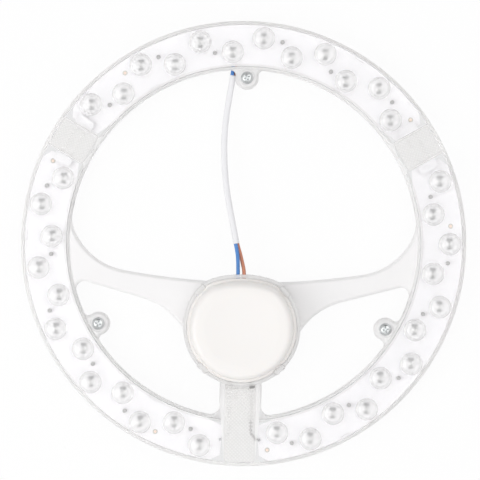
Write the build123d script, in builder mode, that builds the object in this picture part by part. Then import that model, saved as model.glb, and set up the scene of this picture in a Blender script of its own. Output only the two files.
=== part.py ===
"""LED ring module for a ceiling lamp, held by three magnets, in millimetres.

The module lies on its magnets: Z = 0 is the plane where the magnets meet the
lamp's steel tray, the ring's axis is the Z axis, and the light leaves upwards.
The driver hub lies towards -Y.
"""

import os
from math import cos, degrees, hypot, radians, sin, sqrt, tan

from build123d import *

os.makedirs("parts", exist_ok=True)

# Ring channel of the clear moulding
ring_outer_radius = 114.0
ring_width = 24.5
ring_wall = 1.4
front_plate = 1.6

# Light boards, seated on stops inside the channel
board_recess = 3.0
board_thickness = 1.0
board_clearance = 0.4
stop_reach = 1.6
stop_length = 5.0
stop_angle = 31.0
board_end_angle = 54.7
board_outer_cut_along = 4.8
board_outer_cut_across = 3.0
board_inner_cut_along = 9.0
board_inner_cut_across = 2.8
lens_gap = 1.8

# Lenses: twelve to a board, in a zigzag about the middle of the ring
lens_count = 12
lens_pitch = 8.87
lens_outer_margin = 6.55
lens_inner_margin = 7.0
lens_radius = 5.1
lens_sides = 12
lens_height = 1.8
lens_slope = 48.0

# Eight-sided moulded pins that hold the boards, one beside each pair of lenses
pin_sides = 8
pin_radius = 1.0
pin_clearance = 0.15
pin_proud = 0.5
pin_outer_margin = 7.0
pin_inner_margin = 7.6
pin_step = 3.55

# Light emitters
led_length = 3.5
led_width = 2.8
led_height = 0.8

# Prism windows that cover the wire joints between the boards
window_margin = 2.25
window_width = 16.8
window_height = 0.5
window_corner = 1.2

# Two curved arms between the hub and the ring
arm_top_z = 11.2
arm_wall = 1.6
arm_skin = 1.8
arm_edge = 1.2
arm_root_y = -20.0
arm_mid = (61.5, -14.9)
arm_end_angle = 6.4
arm_under_mid = (51.0, -29.1)
arm_under_root = (27.5, -49.5)
arm_under_end_angle = -12.4
arm_upper_blend = 16.0
arm_lower_blend = 4.2

# Wiring spoke between the hub and the ring
spoke_width = 21.4
spoke_wall = 1.6
spoke_blend = 4.5
spoke_window_width = 15.9

# Lugs that carry the magnets
lug_reach = 4.3
lug_radius = 6.0
lug_floor = 3.0
lug_blend = 2.5
lug_recess_radius = 4.1

# Magnets and their screws
magnet_radius = 5.0
magnet_height = 6.0
magnet_hole_depth = 3.8
screw_radius = 1.5
screw_length = 6.4
screw_head_radius = 3.2
screw_head_height = 2.2
screw_hole_clearance = 0.2
screw_thread_clearance = 0.05

# Hub cup of the clear moulding: a circle with a flatter top
hub_y = -43.0
hub_radius = 30.0
hub_top_drop = 2.8
hub_top_radius = 51.0
hub_corner_radius = 14.0
hub_back_z = 1.2
hub_floor = 1.6
hub_rim_wall = 1.8
hub_wall = 3.0
hub_post = 4.0
hub_post_inset = 5.0

# Driver cap, seated on a step of the hub and held by four hooks
cap_seat_z = 13.1
cap_clearance = 0.2
cap_flange = 1.2
cap_flange_width = 1.4
cap_wall = 1.5
cap_top_z = 26.5
cap_edge = 1.8
hook_width = 6.0
hook_reach = 0.9
hook_height = 1.0
hook_angles = (41.0, 139.0, 227.0, 313.0)

# Wire openings in the hub wall
lead_notch_x = -1.1
lead_notch_width = 7.0
lead_notch_height = 2.9
output_slot_x = 5.6
output_slot_width = 2.6

# Driver board
driver_seat_z = 5.6
driver_board_thickness = 1.6
driver_board_inset = 5.5
driver_board_corner = 8.0
terminal_inset = 8.7
header_inset = 8.0

# Components on the driver board, placed from the hub's middle
film_capacitor_place = (11.5, 8.5)
film_capacitor_size = (13.0, 6.0, 11.0)
rectifier_place = (-15.5, -5.0)
rectifier_size = (7.0, 5.0, 2.6)
chip_place = (12.5, -1.0)
chip_size = (5.0, 4.0, 1.6)
diode_place = (12.5, -15.5)
diode_size = (7.0, 4.5, 2.6)
terminal_size = (8.0, 6.0, 8.0)
header_size = (15.0, 5.0, 5.0)
bulk_capacitor_place = (-14.5, 5.5)
bulk_capacitor_radius = 5.0
bulk_capacitor_height = 15.0
output_capacitor_place = (14.5, -8.5)
output_capacitor_radius = 4.0
output_capacitor_height = 12.0
fuse_place = (-1.0, 9.0)
fuse_radius = 1.6
fuse_length = 9.0

# Transformer, its core standing across the board and its coil round the middle leg
core_place = (-1.0, -8.0)
core_width = 20.0
core_depth = 6.0
core_height = 15.0
core_yoke = 3.0
core_leg = 5.0
core_window = 5.0
coil_depth = 13.0
coil_clearance = 0.3

# Output wires
output_wire_radius = 0.75
jumper_overlap = 3.5
jumper_spacing = 5.0
output_route = [
    (5.6, -67.5, 9.4),
    (5.6, -79.0, 9.4),
    (5.8, -91.0, 10.4),
    (9.1, -97.1, 10.8),
    (14.3, -100.1, 10.8),
]

# Mains lead: a flat sheath in a gently falling plane, round cores and bare core tips
sheath_width = 5.2
sheath_thickness = 3.2
sheath_corner = 1.5
sheath_rise = 8.67
sheath_fall = 0.0618
sheath_route = [
    (-3.9, 1.2),
    (-6.7, 14.2),
    (-9.4, 27.3),
    (-10.75, 40.4),
    (-11.2, 54.0),
    (-10.2, 66.8),
    (-8.7, 76.5),
    (-7.48, 85.3),
]
core_radius = 0.95
core_spacing = 1.95
core_straight = 4.4
hub_core_starts = {
    "blue": [(-2.5, -21.5, 11.8), (-2.5, -14.8, 11.8), (-2.45, -7.8, 10.9)],
    "brown": [(0.3, -21.5, 11.4), (0.3, -14.8, 11.4), (-1.2, -8.2, 8.7)],
}
ring_core_route = [(-7.2, 97.5), (-11.5, 102.0), (-18.0, 103.0), (-24.2, 101.4)]
ring_core_levels = {"blue": [3.4, 3.1, 2.95, 2.9], "brown": [1.5, 1.15, 1.0, 0.98]}
bare_radius = 0.45
bare_length = 7.0
run_share = 0.45

# Levels and radii that follow from the sizes above
ring_back_z = magnet_height
ring_inner_radius = ring_outer_radius - ring_width
ring_middle_radius = ring_outer_radius - ring_width / 2
board_back_z = ring_back_z + board_recess
board_front_z = board_back_z + board_thickness
plate_under_z = board_front_z + lens_gap
ring_front_z = plate_under_z + front_plate
channel_inner_radius = ring_inner_radius + ring_wall
channel_outer_radius = ring_outer_radius - ring_wall
board_inner_radius = channel_inner_radius + board_clearance
board_outer_radius = channel_outer_radius - board_clearance
lens_outer_row = board_outer_radius - lens_outer_margin
lens_inner_row = board_inner_radius + lens_inner_margin
pin_outer_row = board_outer_radius - pin_outer_margin
pin_inner_row = board_inner_radius + pin_inner_margin
jumper_rows = (ring_middle_radius - jumper_spacing / 2, ring_middle_radius + jumper_spacing / 2)
window_length = ring_width - 2 * window_margin
lug_pitch_radius = ring_inner_radius - lug_reach
lug_seat_z = ring_back_z + lug_floor
cap_flange_top_z = cap_seat_z + cap_flange
driver_top_z = driver_seat_z + driver_board_thickness
hub_bottom_y = hub_y - hub_radius
hub_top_y = hub_y + hub_radius - hub_top_drop
hub_post_radius = hub_radius - hub_wall - hub_post_inset
driver_board_half = hub_radius - hub_wall - driver_board_inset

# The three boards and lugs share these directions, and the wire gaps lie between them
segments = {"top": 90.0, "left": 210.0, "right": 330.0}
window_angles = (30.0, 150.0)
spoke_angle = 270.0
corner_fit = 0.01


def polar(radius, angle):
    """Point at a distance from the ring's axis, in a direction in degrees."""
    return (radius * cos(radians(angle)), radius * sin(radians(angle)))


def lens_places(middle):
    """Centres of a board's lenses, from its counter-clockwise end, with their directions."""
    first = middle + lens_pitch * (lens_count - 1) / 2
    rows = (lens_outer_row, lens_inner_row)
    angles = [first - k * lens_pitch for k in range(lens_count)]
    return [(*polar(rows[k % 2], angle), angle) for k, angle in enumerate(angles)]


def pin_places(middle):
    """Centres of a board's pins, by turns beside the outer and the inner lens of a pair."""
    first = middle + lens_pitch * (lens_count - 1) / 2
    places = []
    for pair in range(lens_count // 2):
        outer_lens = first - 2 * pair * lens_pitch
        inner_lens = outer_lens - lens_pitch
        if pair % 2:
            places.append(polar(pin_outer_row, inner_lens + pin_step))
        else:
            places.append(polar(pin_inner_row, outer_lens - pin_step))
    return places


def hub_face(inset):
    """The hub's outline, moved inwards: two arcs with a tangent arc at each corner between them."""
    low_middle = Vector(0, hub_y)
    top_middle = Vector(0, hub_top_y - hub_top_radius)
    low_reach = hub_radius - hub_corner_radius
    top_reach = hub_top_radius - hub_corner_radius
    apart = low_middle.Y - top_middle.Y
    corner_y = (top_reach**2 - low_reach**2) / (2 * apart) + (low_middle.Y + top_middle.Y) / 2
    corner_middle = Vector(sqrt(low_reach**2 - (corner_y - hub_y) ** 2), corner_y)
    low_way = (corner_middle - low_middle).normalized()
    top_way = (corner_middle - top_middle).normalized()
    low_end = low_middle + low_way * (hub_radius - inset)
    top_end = top_middle + top_way * (hub_top_radius - inset)
    corner = corner_middle + (low_way + top_way).normalized() * (hub_corner_radius - inset)
    with BuildSketch() as outline:
        with BuildLine():
            ThreePointArc((-low_end.X, low_end.Y), (0, hub_y - hub_radius + inset), low_end)
            ThreePointArc(low_end, corner, top_end)
            ThreePointArc(top_end, (0, hub_top_y - inset), (-top_end.X, top_end.Y))
            ThreePointArc((-top_end.X, top_end.Y), (-corner.X, corner.Y), (-low_end.X, low_end.Y))
        make_face()
    return outline.sketch


def ring_and_spoke():
    """The ring from its inner to its outer edge, with the spoke from the hub's middle."""
    spoke_end = -channel_inner_radius
    with BuildSketch() as outline:
        Circle(ring_outer_radius)
        Circle(ring_inner_radius, mode=Mode.SUBTRACT)
        with Locations((0, (hub_y + spoke_end) / 2)):
            Rectangle(spoke_width, hub_y - spoke_end)
    return outline.sketch


def ring_corners(plan, direction, reach):
    """Corners of a plan on the ring's inner edge, near a direction in degrees or its mirror image."""
    place = Vector(*polar(ring_inner_radius, direction))
    corners = [v for v in plan.vertices() if abs(hypot(v.X, v.Y) - ring_inner_radius) < corner_fit]
    return [v for v in corners if (Vector(abs(v.X), v.Y) - place).length < reach]


def bend_radii(points):
    """The largest arc that each corner of a wire's route has room for."""
    radii = []
    for before, corner, after in zip(points, points[1:], points[2:]):
        run_in = Vector(corner) - Vector(before)
        run_out = Vector(after) - Vector(corner)
        half_turn = radians(run_in.get_angle(run_out)) / 2
        radii.append(run_share * min(run_in.length, run_out.length) / tan(half_turn))
    return radii


def arm_face():
    """The right arm from the middle of the hub into the ring, which cover its two ends."""
    upper_end = polar(ring_inner_radius, arm_end_angle)
    lower_end = polar(ring_inner_radius, arm_under_end_angle)
    into_ring = channel_inner_radius + board_clearance
    with BuildSketch() as outline:
        with BuildLine():
            root = TangentArc((0, arm_root_y), arm_mid, tangent=(1, 0))
            sweep_up = TangentArc(arm_mid, upper_end, tangent=root % 1)
            under = Line(lower_end, arm_under_mid)
            under_root = TangentArc(arm_under_mid, arm_under_root, tangent=under % 1)
            Polyline(
                sweep_up @ 1,
                polar(into_ring, arm_end_angle),
                polar(into_ring, arm_under_end_angle),
                lower_end,
            )
            Polyline(under_root @ 1, (0, arm_under_root[1]), (0, arm_root_y))
        make_face()
    return outline.sketch


# Clear moulding: ring channel with lenses, arms, spoke, lugs and hub cup in one piece
with BuildPart() as lens_cover:
    # Ring, arms, lugs and spoke up to the arms' eased edge, then ring and spoke up to the front
    with BuildSketch(Plane.XY.offset(ring_back_z)) as lower_plan:
        add(ring_and_spoke())
        add(arm_face())
        mirror(arm_face(), about=Plane.YZ)
        with PolarLocations(lug_pitch_radius, len(segments), start_angle=segments["top"]):
            Circle(lug_radius)
        fillet(ring_corners(lower_plan, arm_end_angle, corner_fit), arm_upper_blend)
        fillet(ring_corners(lower_plan, arm_under_end_angle, corner_fit), arm_lower_blend)
        for direction in (segments["top"], segments["right"]):
            fillet(ring_corners(lower_plan, direction, lug_radius), lug_blend)
        fillet(ring_corners(lower_plan, spoke_angle, spoke_width), spoke_blend)
    extrude(amount=arm_top_z - ring_back_z)
    chamfer(lens_cover.faces().sort_by(Axis.Z)[-1].inner_wires().edges(), arm_edge)
    with BuildSketch(Plane.XY.offset(arm_top_z - arm_edge)) as upper_plan:
        add(ring_and_spoke())
        fillet(ring_corners(upper_plan, spoke_angle, spoke_width), spoke_blend)
    extrude(amount=ring_front_z - arm_top_z + arm_edge)

    # Hollow arms, open at the back
    with BuildSketch(Plane.XY.offset(ring_back_z)):
        add(arm_face())
        mirror(arm_face(), about=Plane.YZ)
        offset(amount=-arm_wall)
        Circle(ring_inner_radius, mode=Mode.INTERSECT)
    extrude(amount=arm_top_z - arm_skin - ring_back_z, mode=Mode.SUBTRACT)

    # Channel for the boards, and the stops that they rest against
    with BuildSketch(Plane.XY.offset(ring_back_z)):
        Circle(channel_outer_radius)
        Circle(channel_inner_radius, mode=Mode.SUBTRACT)
    extrude(amount=plate_under_z - ring_back_z, mode=Mode.SUBTRACT)
    stop_width = stop_reach + ring_wall / 2
    inner_stop = channel_inner_radius + stop_reach - stop_width / 2
    outer_stop = channel_outer_radius - stop_reach + stop_width / 2
    with BuildSketch(Plane.XY.offset(board_front_z)):
        for middle in segments.values():
            for angle in (middle - stop_angle, middle + stop_angle):
                for radius in (inner_stop, outer_stop):
                    with Locations(Location((*polar(radius, angle), 0), (0, 0, angle))):
                        Rectangle(stop_width, stop_length)
    extrude(amount=lens_gap)

    # Hub cup, with posts for the driver board, a step for the cap and hooks over it
    with BuildSketch(Plane.XY.offset(hub_back_z)):
        add(hub_face(0))
    extrude(amount=cap_flange_top_z - hub_back_z)
    with BuildSketch(Plane.XY.offset(cap_seat_z)):
        add(hub_face(hub_rim_wall))
    extrude(amount=cap_flange, mode=Mode.SUBTRACT)
    with BuildSketch(Plane.XY.offset(hub_back_z + hub_floor)):
        add(hub_face(hub_wall))
    extrude(amount=cap_seat_z - hub_back_z - hub_floor, mode=Mode.SUBTRACT)
    with BuildSketch(Plane.XY.offset(hub_back_z)):
        with Locations((0, hub_y)):
            with PolarLocations(hub_post_radius, 4, start_angle=45):
                Rectangle(hub_post, hub_post)
    extrude(amount=driver_seat_z - hub_back_z)
    with BuildSketch(Plane.XY.offset(cap_flange_top_z)):
        for angle in hook_angles:
            hook_middle = hub_radius - (hub_rim_wall + hook_reach) / 2
            hook_x, hook_y = polar(hook_middle, angle)
            with Locations(Location((hook_x, hub_y + hook_y, 0), (0, 0, angle))):
                Rectangle(hub_rim_wall + hook_reach, hook_width)
    extrude(amount=hook_height)

    # Wire way along the spoke, and the openings in the hub wall
    way_start = hub_bottom_y - spoke_wall
    way_end = -channel_inner_radius - ring_wall
    with BuildSketch(Plane.XY.offset(ring_back_z)):
        with Locations((0, (way_start + way_end) / 2)):
            Rectangle(spoke_width - 2 * spoke_wall, way_start - way_end)
    extrude(amount=plate_under_z - ring_back_z, mode=Mode.SUBTRACT)
    with BuildSketch(Plane.XY.offset(driver_top_z)):
        with Locations((output_slot_x, hub_bottom_y), (-output_slot_x, hub_bottom_y)):
            Rectangle(output_slot_width, 4 * hub_wall)
    extrude(amount=plate_under_z - driver_top_z, mode=Mode.SUBTRACT)
    with BuildSketch(Plane.XY.offset(cap_seat_z - lead_notch_height)):
        with Locations((lead_notch_x, hub_top_y)):
            Rectangle(lead_notch_width, 4 * hub_wall)
    extrude(amount=lead_notch_height, mode=Mode.SUBTRACT)

    # Prism windows over the wire joints
    window_end = -ring_middle_radius - window_length / 2
    with BuildSketch(Plane.XY.offset(ring_front_z)):
        for angle in window_angles:
            with Locations(Location((*polar(ring_middle_radius, angle), 0), (0, 0, angle))):
                RectangleRounded(window_length, window_width, window_corner)
        with Locations((0, (hub_y + window_end) / 2)):
            RectangleRounded(spoke_window_width, hub_y - window_end, window_corner)
        add(hub_face(0), mode=Mode.SUBTRACT)
    extrude(amount=window_height)

    # Lenses on the front
    with BuildSketch(Plane.XY.offset(ring_front_z)):
        for middle in segments.values():
            with Locations(*[(x, y) for x, y, _ in lens_places(middle)]):
                RegularPolygon(lens_radius, lens_sides)
    extrude(amount=lens_height, taper=lens_slope)

    # Pins through the boards
    with BuildSketch(Plane.XY.offset(board_back_z - pin_proud)):
        for middle in segments.values():
            with Locations(*pin_places(middle)):
                RegularPolygon(pin_radius, pin_sides)
    extrude(amount=plate_under_z - board_back_z + pin_proud)

    # Recess and hole for each magnet's screw
    for z, radius, depth in (
        (arm_top_z, lug_recess_radius, arm_top_z - lug_seat_z),
        (lug_seat_z, screw_radius + screw_hole_clearance, lug_floor),
    ):
        with BuildSketch(Plane.XY.offset(z)):
            with PolarLocations(lug_pitch_radius, len(segments), start_angle=segments["top"]):
                Circle(radius)
        extrude(amount=-depth, mode=Mode.SUBTRACT)
lens_cover.part.label = "lens_cover"
export_step(lens_cover.part, "parts/lens_cover.step")

# Light boards with their emitters, one of each to a third of the ring
for segment, middle in segments.items():
    with BuildPart() as led_board:
        with BuildSketch(Plane.XY.offset(board_back_z)):
            with BuildLine():
                outer_half = board_end_angle - degrees(board_outer_cut_along / board_outer_radius)
                outer_corner = board_outer_radius - board_outer_cut_across
                inner_half = board_end_angle - degrees(board_inner_cut_along / board_inner_radius)
                inner_corner = board_inner_radius + board_inner_cut_across
                CenterArc((0, 0), board_outer_radius, middle - outer_half, 2 * outer_half)
                CenterArc((0, 0), board_inner_radius, middle - inner_half, 2 * inner_half)
                for side in (-1, 1):
                    Polyline(
                        polar(board_outer_radius, middle + side * outer_half),
                        polar(outer_corner, middle + side * board_end_angle),
                        polar(inner_corner, middle + side * board_end_angle),
                        polar(board_inner_radius, middle + side * inner_half),
                    )
            make_face()
            with Locations(*pin_places(middle)):
                RegularPolygon(pin_radius + pin_clearance, pin_sides, mode=Mode.SUBTRACT)
        extrude(amount=board_thickness)
    led_board.part.label = f"led_board_{segment}"
    export_step(led_board.part, f"parts/led_board_{segment}.step")

    with BuildPart() as led_chips:
        with BuildSketch(Plane.XY.offset(board_front_z)):
            for x, y, angle in lens_places(middle):
                with Locations(Location((x, y, 0), (0, 0, angle))):
                    Rectangle(led_length, led_width)
        extrude(amount=led_height)
    led_chips.part.label = f"led_chips_{segment}"
    export_step(led_chips.part, f"parts/led_chips_{segment}.step")

# Jumper wires across the two gaps that the prism windows cover
gap_half_angle = 180 / len(segments) - board_end_angle
for side, angle in (("right", window_angles[0]), ("left", window_angles[1])):
    along = (-sin(radians(angle)), cos(radians(angle)), 0)
    with BuildPart() as board_jumpers:
        for row in jumper_rows:
            middle = (*polar(row, angle), board_front_z + output_wire_radius)
            with BuildSketch(Plane(middle, z_dir=along)):
                Circle(output_wire_radius)
            extrude(amount=row * sin(radians(gap_half_angle)) + jumper_overlap, both=True)
    board_jumpers.part.label = f"board_jumpers_{side}"
    export_step(board_jumpers.part, f"parts/board_jumpers_{side}.step")

# Magnets under the lugs, each with a blind hole for its screw
for segment, middle in segments.items():
    foot = polar(lug_pitch_radius, middle)
    with BuildPart() as magnet:
        with BuildSketch(Plane(foot)):
            Circle(magnet_radius)
        extrude(amount=magnet_height)
        with BuildSketch(Plane((*foot, magnet_height))):
            Circle(screw_radius + screw_thread_clearance)
        extrude(amount=-magnet_hole_depth, mode=Mode.SUBTRACT)
    magnet.part.label = f"magnet_{segment}"
    export_step(magnet.part, f"parts/magnet_{segment}.step")

# Screws that hold the magnets to the lugs
with BuildPart() as lug_screws:
    for z, radius, height in (
        (lug_seat_z - screw_length, screw_radius, screw_length),
        (lug_seat_z, screw_head_radius, screw_head_height),
    ):
        with BuildSketch(Plane.XY.offset(z)):
            with PolarLocations(lug_pitch_radius, len(segments), start_angle=segments["top"]):
                Circle(radius)
        extrude(amount=height)
lug_screws.part.label = "lug_screws"
export_step(lug_screws.part, "parts/lug_screws.step")

# Driver cap: a flange in the hub's step, upright sides and an eased top edge
with BuildPart() as driver_cap:
    cap_inset = hub_rim_wall + cap_clearance
    with BuildSketch(Plane.XY.offset(cap_seat_z)):
        add(hub_face(cap_inset))
    extrude(amount=cap_flange)
    with BuildSketch(Plane.XY.offset(cap_seat_z)):
        add(hub_face(cap_inset + cap_flange_width))
    extrude(amount=cap_top_z - cap_seat_z)
    chamfer(driver_cap.faces().sort_by(Axis.Z)[-1].edges(), cap_edge)
    with BuildSketch(Plane.XY.offset(cap_seat_z)):
        add(hub_face(cap_inset + cap_flange_width + cap_wall))
    extrude(amount=cap_top_z - cap_wall - cap_seat_z, mode=Mode.SUBTRACT)
driver_cap.part.label = "driver_cap"
export_step(driver_cap.part, "parts/driver_cap.step")

# Driver board on the hub's posts, with its components
with BuildPart() as driver_board:
    with BuildSketch(Plane.XY.offset(driver_seat_z)) as driver_outline:
        with Locations((0, hub_y)):
            Rectangle(2 * driver_board_half, 2 * driver_board_half)
        chamfer(driver_outline.vertices(), driver_board_corner)
    extrude(amount=driver_board_thickness)
driver_board.part.label = "driver_board"
export_step(driver_board.part, "parts/driver_board.step")

terminal_place = (lead_notch_x, hub_top_y - terminal_inset - hub_y)
header_place = (0, header_inset - hub_radius)
for name, place, size in (
    ("film_capacitor", film_capacitor_place, film_capacitor_size),
    ("bridge_rectifier", rectifier_place, rectifier_size),
    ("control_chip", chip_place, chip_size),
    ("output_diode", diode_place, diode_size),
    ("input_terminal", terminal_place, terminal_size),
    ("output_header", header_place, header_size),
):
    with BuildPart() as driver_box:
        with BuildSketch(Plane((place[0], hub_y + place[1], driver_top_z))):
            Rectangle(size[0], size[1])
        extrude(amount=size[2])
    driver_box.part.label = name
    export_step(driver_box.part, f"parts/{name}.step")

for name, place, radius, height in (
    ("bulk_capacitor", bulk_capacitor_place, bulk_capacitor_radius, bulk_capacitor_height),
    ("output_capacitor", output_capacitor_place, output_capacitor_radius, output_capacitor_height),
):
    with BuildPart() as driver_can:
        with BuildSketch(Plane((place[0], hub_y + place[1], driver_top_z))):
            Circle(radius)
        extrude(amount=height)
    driver_can.part.label = name
    export_step(driver_can.part, f"parts/{name}.step")

with BuildPart() as fuse_resistor:
    fuse_middle = (fuse_place[0], hub_y + fuse_place[1], driver_top_z + fuse_radius)
    with BuildSketch(Plane(fuse_middle, z_dir=(1, 0, 0))):
        Circle(fuse_radius)
    extrude(amount=fuse_length / 2, both=True)
fuse_resistor.part.label = "fuse_resistor"
export_step(fuse_resistor.part, "parts/fuse_resistor.step")

core_middle = (core_place[0], hub_y + core_place[1])
with BuildPart() as transformer_core:
    core_window_x = (core_leg + core_window) / 2
    with BuildSketch(Plane((*core_middle, driver_top_z), x_dir=(1, 0, 0), z_dir=(0, -1, 0))):
        with Locations((0, core_height / 2)):
            Rectangle(core_width, core_height)
        with Locations((-core_window_x, core_height / 2), (core_window_x, core_height / 2)):
            Rectangle(core_window, core_height - 2 * core_yoke, mode=Mode.SUBTRACT)
    extrude(amount=core_depth / 2, both=True)
transformer_core.part.label = "transformer_core"
export_step(transformer_core.part, "parts/transformer_core.step")

with BuildPart() as transformer_coil:
    coil_width = core_leg + 2 * core_window - 2 * coil_clearance
    coil_height = core_height - 2 * core_yoke - 2 * coil_clearance
    with BuildSketch(Plane((*core_middle, driver_top_z + core_yoke + coil_clearance))):
        Rectangle(coil_width, coil_depth)
        Rectangle(core_leg + 2 * coil_clearance, core_depth + 2 * coil_clearance, mode=Mode.SUBTRACT)
    extrude(amount=coil_height)
transformer_coil.part.label = "transformer_coil"
export_step(transformer_coil.part, "parts/transformer_coil.step")

# Output leads from the driver to the two boards beside the spoke, the dark one on the right
for name, side in (("output_lead_dark", 1), ("output_lead_white", -1)):
    route = [(side * x, y, z) for x, y, z in output_route]
    radii = bend_radii(route)
    with BuildPart() as output_lead:
        with BuildLine() as output_path:
            FilletPolyline(*route, radius=radii)
        with BuildSketch(Plane(output_path.line @ 0, z_dir=output_path.line % 0)):
            Circle(output_wire_radius)
        sweep()
    print(name, "bend radii", [round(r, 1) for r in radii])
    output_lead.part.label = name
    export_step(output_lead.part, f"parts/{name}.step")

# Mains lead's sheath, its wide side upright in the plane that it lies in
sheath_points = [Vector(x, y, sheath_rise - sheath_fall * y) for x, y in sheath_route]
sheath_up = Vector(0, sheath_fall, 1).normalized()
sheath_start_way = (sheath_points[1] - sheath_points[0]).normalized()
sheath_end_way = (sheath_points[-1] - sheath_points[-2]).normalized()
sheath_radii = bend_radii(sheath_points)
with BuildPart() as mains_sheath:
    with BuildLine() as sheath_path:
        FilletPolyline(*sheath_points, radius=sheath_radii)
    with BuildSketch(Plane(sheath_points[0], x_dir=sheath_up, z_dir=sheath_start_way)):
        RectangleRounded(sheath_width, sheath_thickness, sheath_corner)
    sweep()
print("mains_sheath bend radii", [round(r, 1) for r in sheath_radii])
mains_sheath.part.label = "mains_sheath"
export_step(mains_sheath.part, "parts/mains_sheath.step")

# Cores: from the driver into the sheath, and out of its far end behind the ring
core_ends = {}
for colour, lift in (("blue", core_spacing / 2), ("brown", -core_spacing / 2)):
    mouth = sheath_points[0] + sheath_up * lift
    outlet = sheath_points[-1] + sheath_up * lift
    levels = ring_core_levels[colour]
    hub_run = [Vector(p) for p in hub_core_starts[colour]]
    hub_run += [mouth - sheath_start_way * core_straight, mouth]
    ring_run = [outlet, outlet + sheath_end_way * core_straight]
    ring_run += [Vector(x, y, z) for (x, y), z in zip(ring_core_route, levels)]
    core_ends[colour] = (ring_run[-1], (ring_run[-1] - ring_run[-2]).normalized())
    with BuildPart() as mains_core:
        for run in (hub_run, ring_run):
            radii = bend_radii(run)
            with BuildLine() as core_path:
                FilletPolyline(*run, radius=radii)
            with BuildSketch(Plane(core_path.line @ 0, z_dir=core_path.line % 0)):
                Circle(core_radius)
            sweep()
            print("mains_core", colour, "bend radii", [round(r, 1) for r in radii])
    mains_core.part.label = f"mains_core_{colour}"
    export_step(mains_core.part, f"parts/mains_core_{colour}.step")

# Bare tips of the two cores
with BuildPart() as core_tips:
    for tip_start, tip_way in core_ends.values():
        with BuildSketch(Plane(tip_start, z_dir=tip_way)):
            Circle(bare_radius)
        extrude(amount=bare_length)
core_tips.part.label = "core_tips"
export_step(core_tips.part, "parts/core_tips.step")
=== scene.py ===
"""Looks of a round LED light module for a ceiling lamp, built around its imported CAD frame.

Sizes in the classes are millimetres in the CAD frame: the module lies on its magnets at
Z = 0, the ring's axis is the Z axis, and the light leaves upwards.
"""

import logging
from collections.abc import Callable, Iterable, Mapping, Sequence
from dataclasses import dataclass, field
from enum import Enum
from math import atan2, cos, hypot, pi, radians, sin, sqrt
from typing import Any

import bmesh
import bpy
from mathutils import Matrix, Vector


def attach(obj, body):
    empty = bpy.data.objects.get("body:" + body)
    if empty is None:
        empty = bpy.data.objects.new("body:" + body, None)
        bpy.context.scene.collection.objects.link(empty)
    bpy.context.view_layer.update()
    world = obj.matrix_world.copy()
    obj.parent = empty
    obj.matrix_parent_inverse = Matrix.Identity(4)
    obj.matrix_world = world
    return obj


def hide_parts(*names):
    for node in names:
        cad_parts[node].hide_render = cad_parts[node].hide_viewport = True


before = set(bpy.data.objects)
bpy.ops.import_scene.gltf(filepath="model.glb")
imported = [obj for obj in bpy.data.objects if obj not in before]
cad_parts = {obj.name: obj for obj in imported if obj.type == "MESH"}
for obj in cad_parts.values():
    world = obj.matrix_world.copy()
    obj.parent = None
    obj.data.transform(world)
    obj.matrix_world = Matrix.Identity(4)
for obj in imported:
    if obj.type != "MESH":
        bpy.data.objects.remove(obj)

MM = 0.001
BODY = "root"
NOISE_MEAN = 0.5
SHARP_ANGLE = 38.0
Colour = tuple[float, float, float]
Point = tuple[float, float, float]
Spot = tuple[float, float]
Profile = tuple[tuple[float, float], ...]
log = logging.getLogger("led_ring")


class Segment(Enum):
    """The three boards and lugs, by the direction of their middle in degrees."""

    TOP = 90.0
    LEFT = 210.0
    RIGHT = 330.0

    @property
    def word(self) -> str:
        """The segment's name as the CAD nodes spell it."""
        return self.name.lower()


class Join(Enum):
    """How a tool form is combined with a piece."""

    ADD = "UNION"
    CUT = "DIFFERENCE"


class Term:
    """A value socket that takes part in arithmetic; each operation adds a Math node."""

    def __init__(self, graph: "Graph", socket: bpy.types.NodeSocket) -> None:
        """Wraps a socket of a graph."""
        self.graph = graph
        self.socket = socket

    def _math(self, operation: str, first: Any, second: Any) -> "Term":
        """Adds a Math node.

        Args:
            operation: The node's operation.
            first: Its first value or link.
            second: Its second value or link.

        Returns:
            The node's result.
        """
        return self.graph.term("Math", {"operation": operation}, {0: first, 1: second})

    def __add__(self, other: Any) -> "Term":
        """Sum."""
        return self._math("ADD", self, other)

    def __radd__(self, other: Any) -> "Term":
        """Sum, from the right."""
        return self._math("ADD", other, self)

    def __sub__(self, other: Any) -> "Term":
        """Difference."""
        return self._math("SUBTRACT", self, other)

    def __rsub__(self, other: Any) -> "Term":
        """Difference, from the right."""
        return self._math("SUBTRACT", other, self)

    def __mul__(self, other: Any) -> "Term":
        """Product."""
        return self._math("MULTIPLY", self, other)

    def __rmul__(self, other: Any) -> "Term":
        """Product, from the right."""
        return self._math("MULTIPLY", other, self)

    def __or__(self, other: Any) -> "Term":
        """The larger of two values."""
        return self._math("MAXIMUM", self, other)

    def __abs__(self) -> "Term":
        """Size without its sign."""
        return self._math("ABSOLUTE", self, 0.0)


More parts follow.
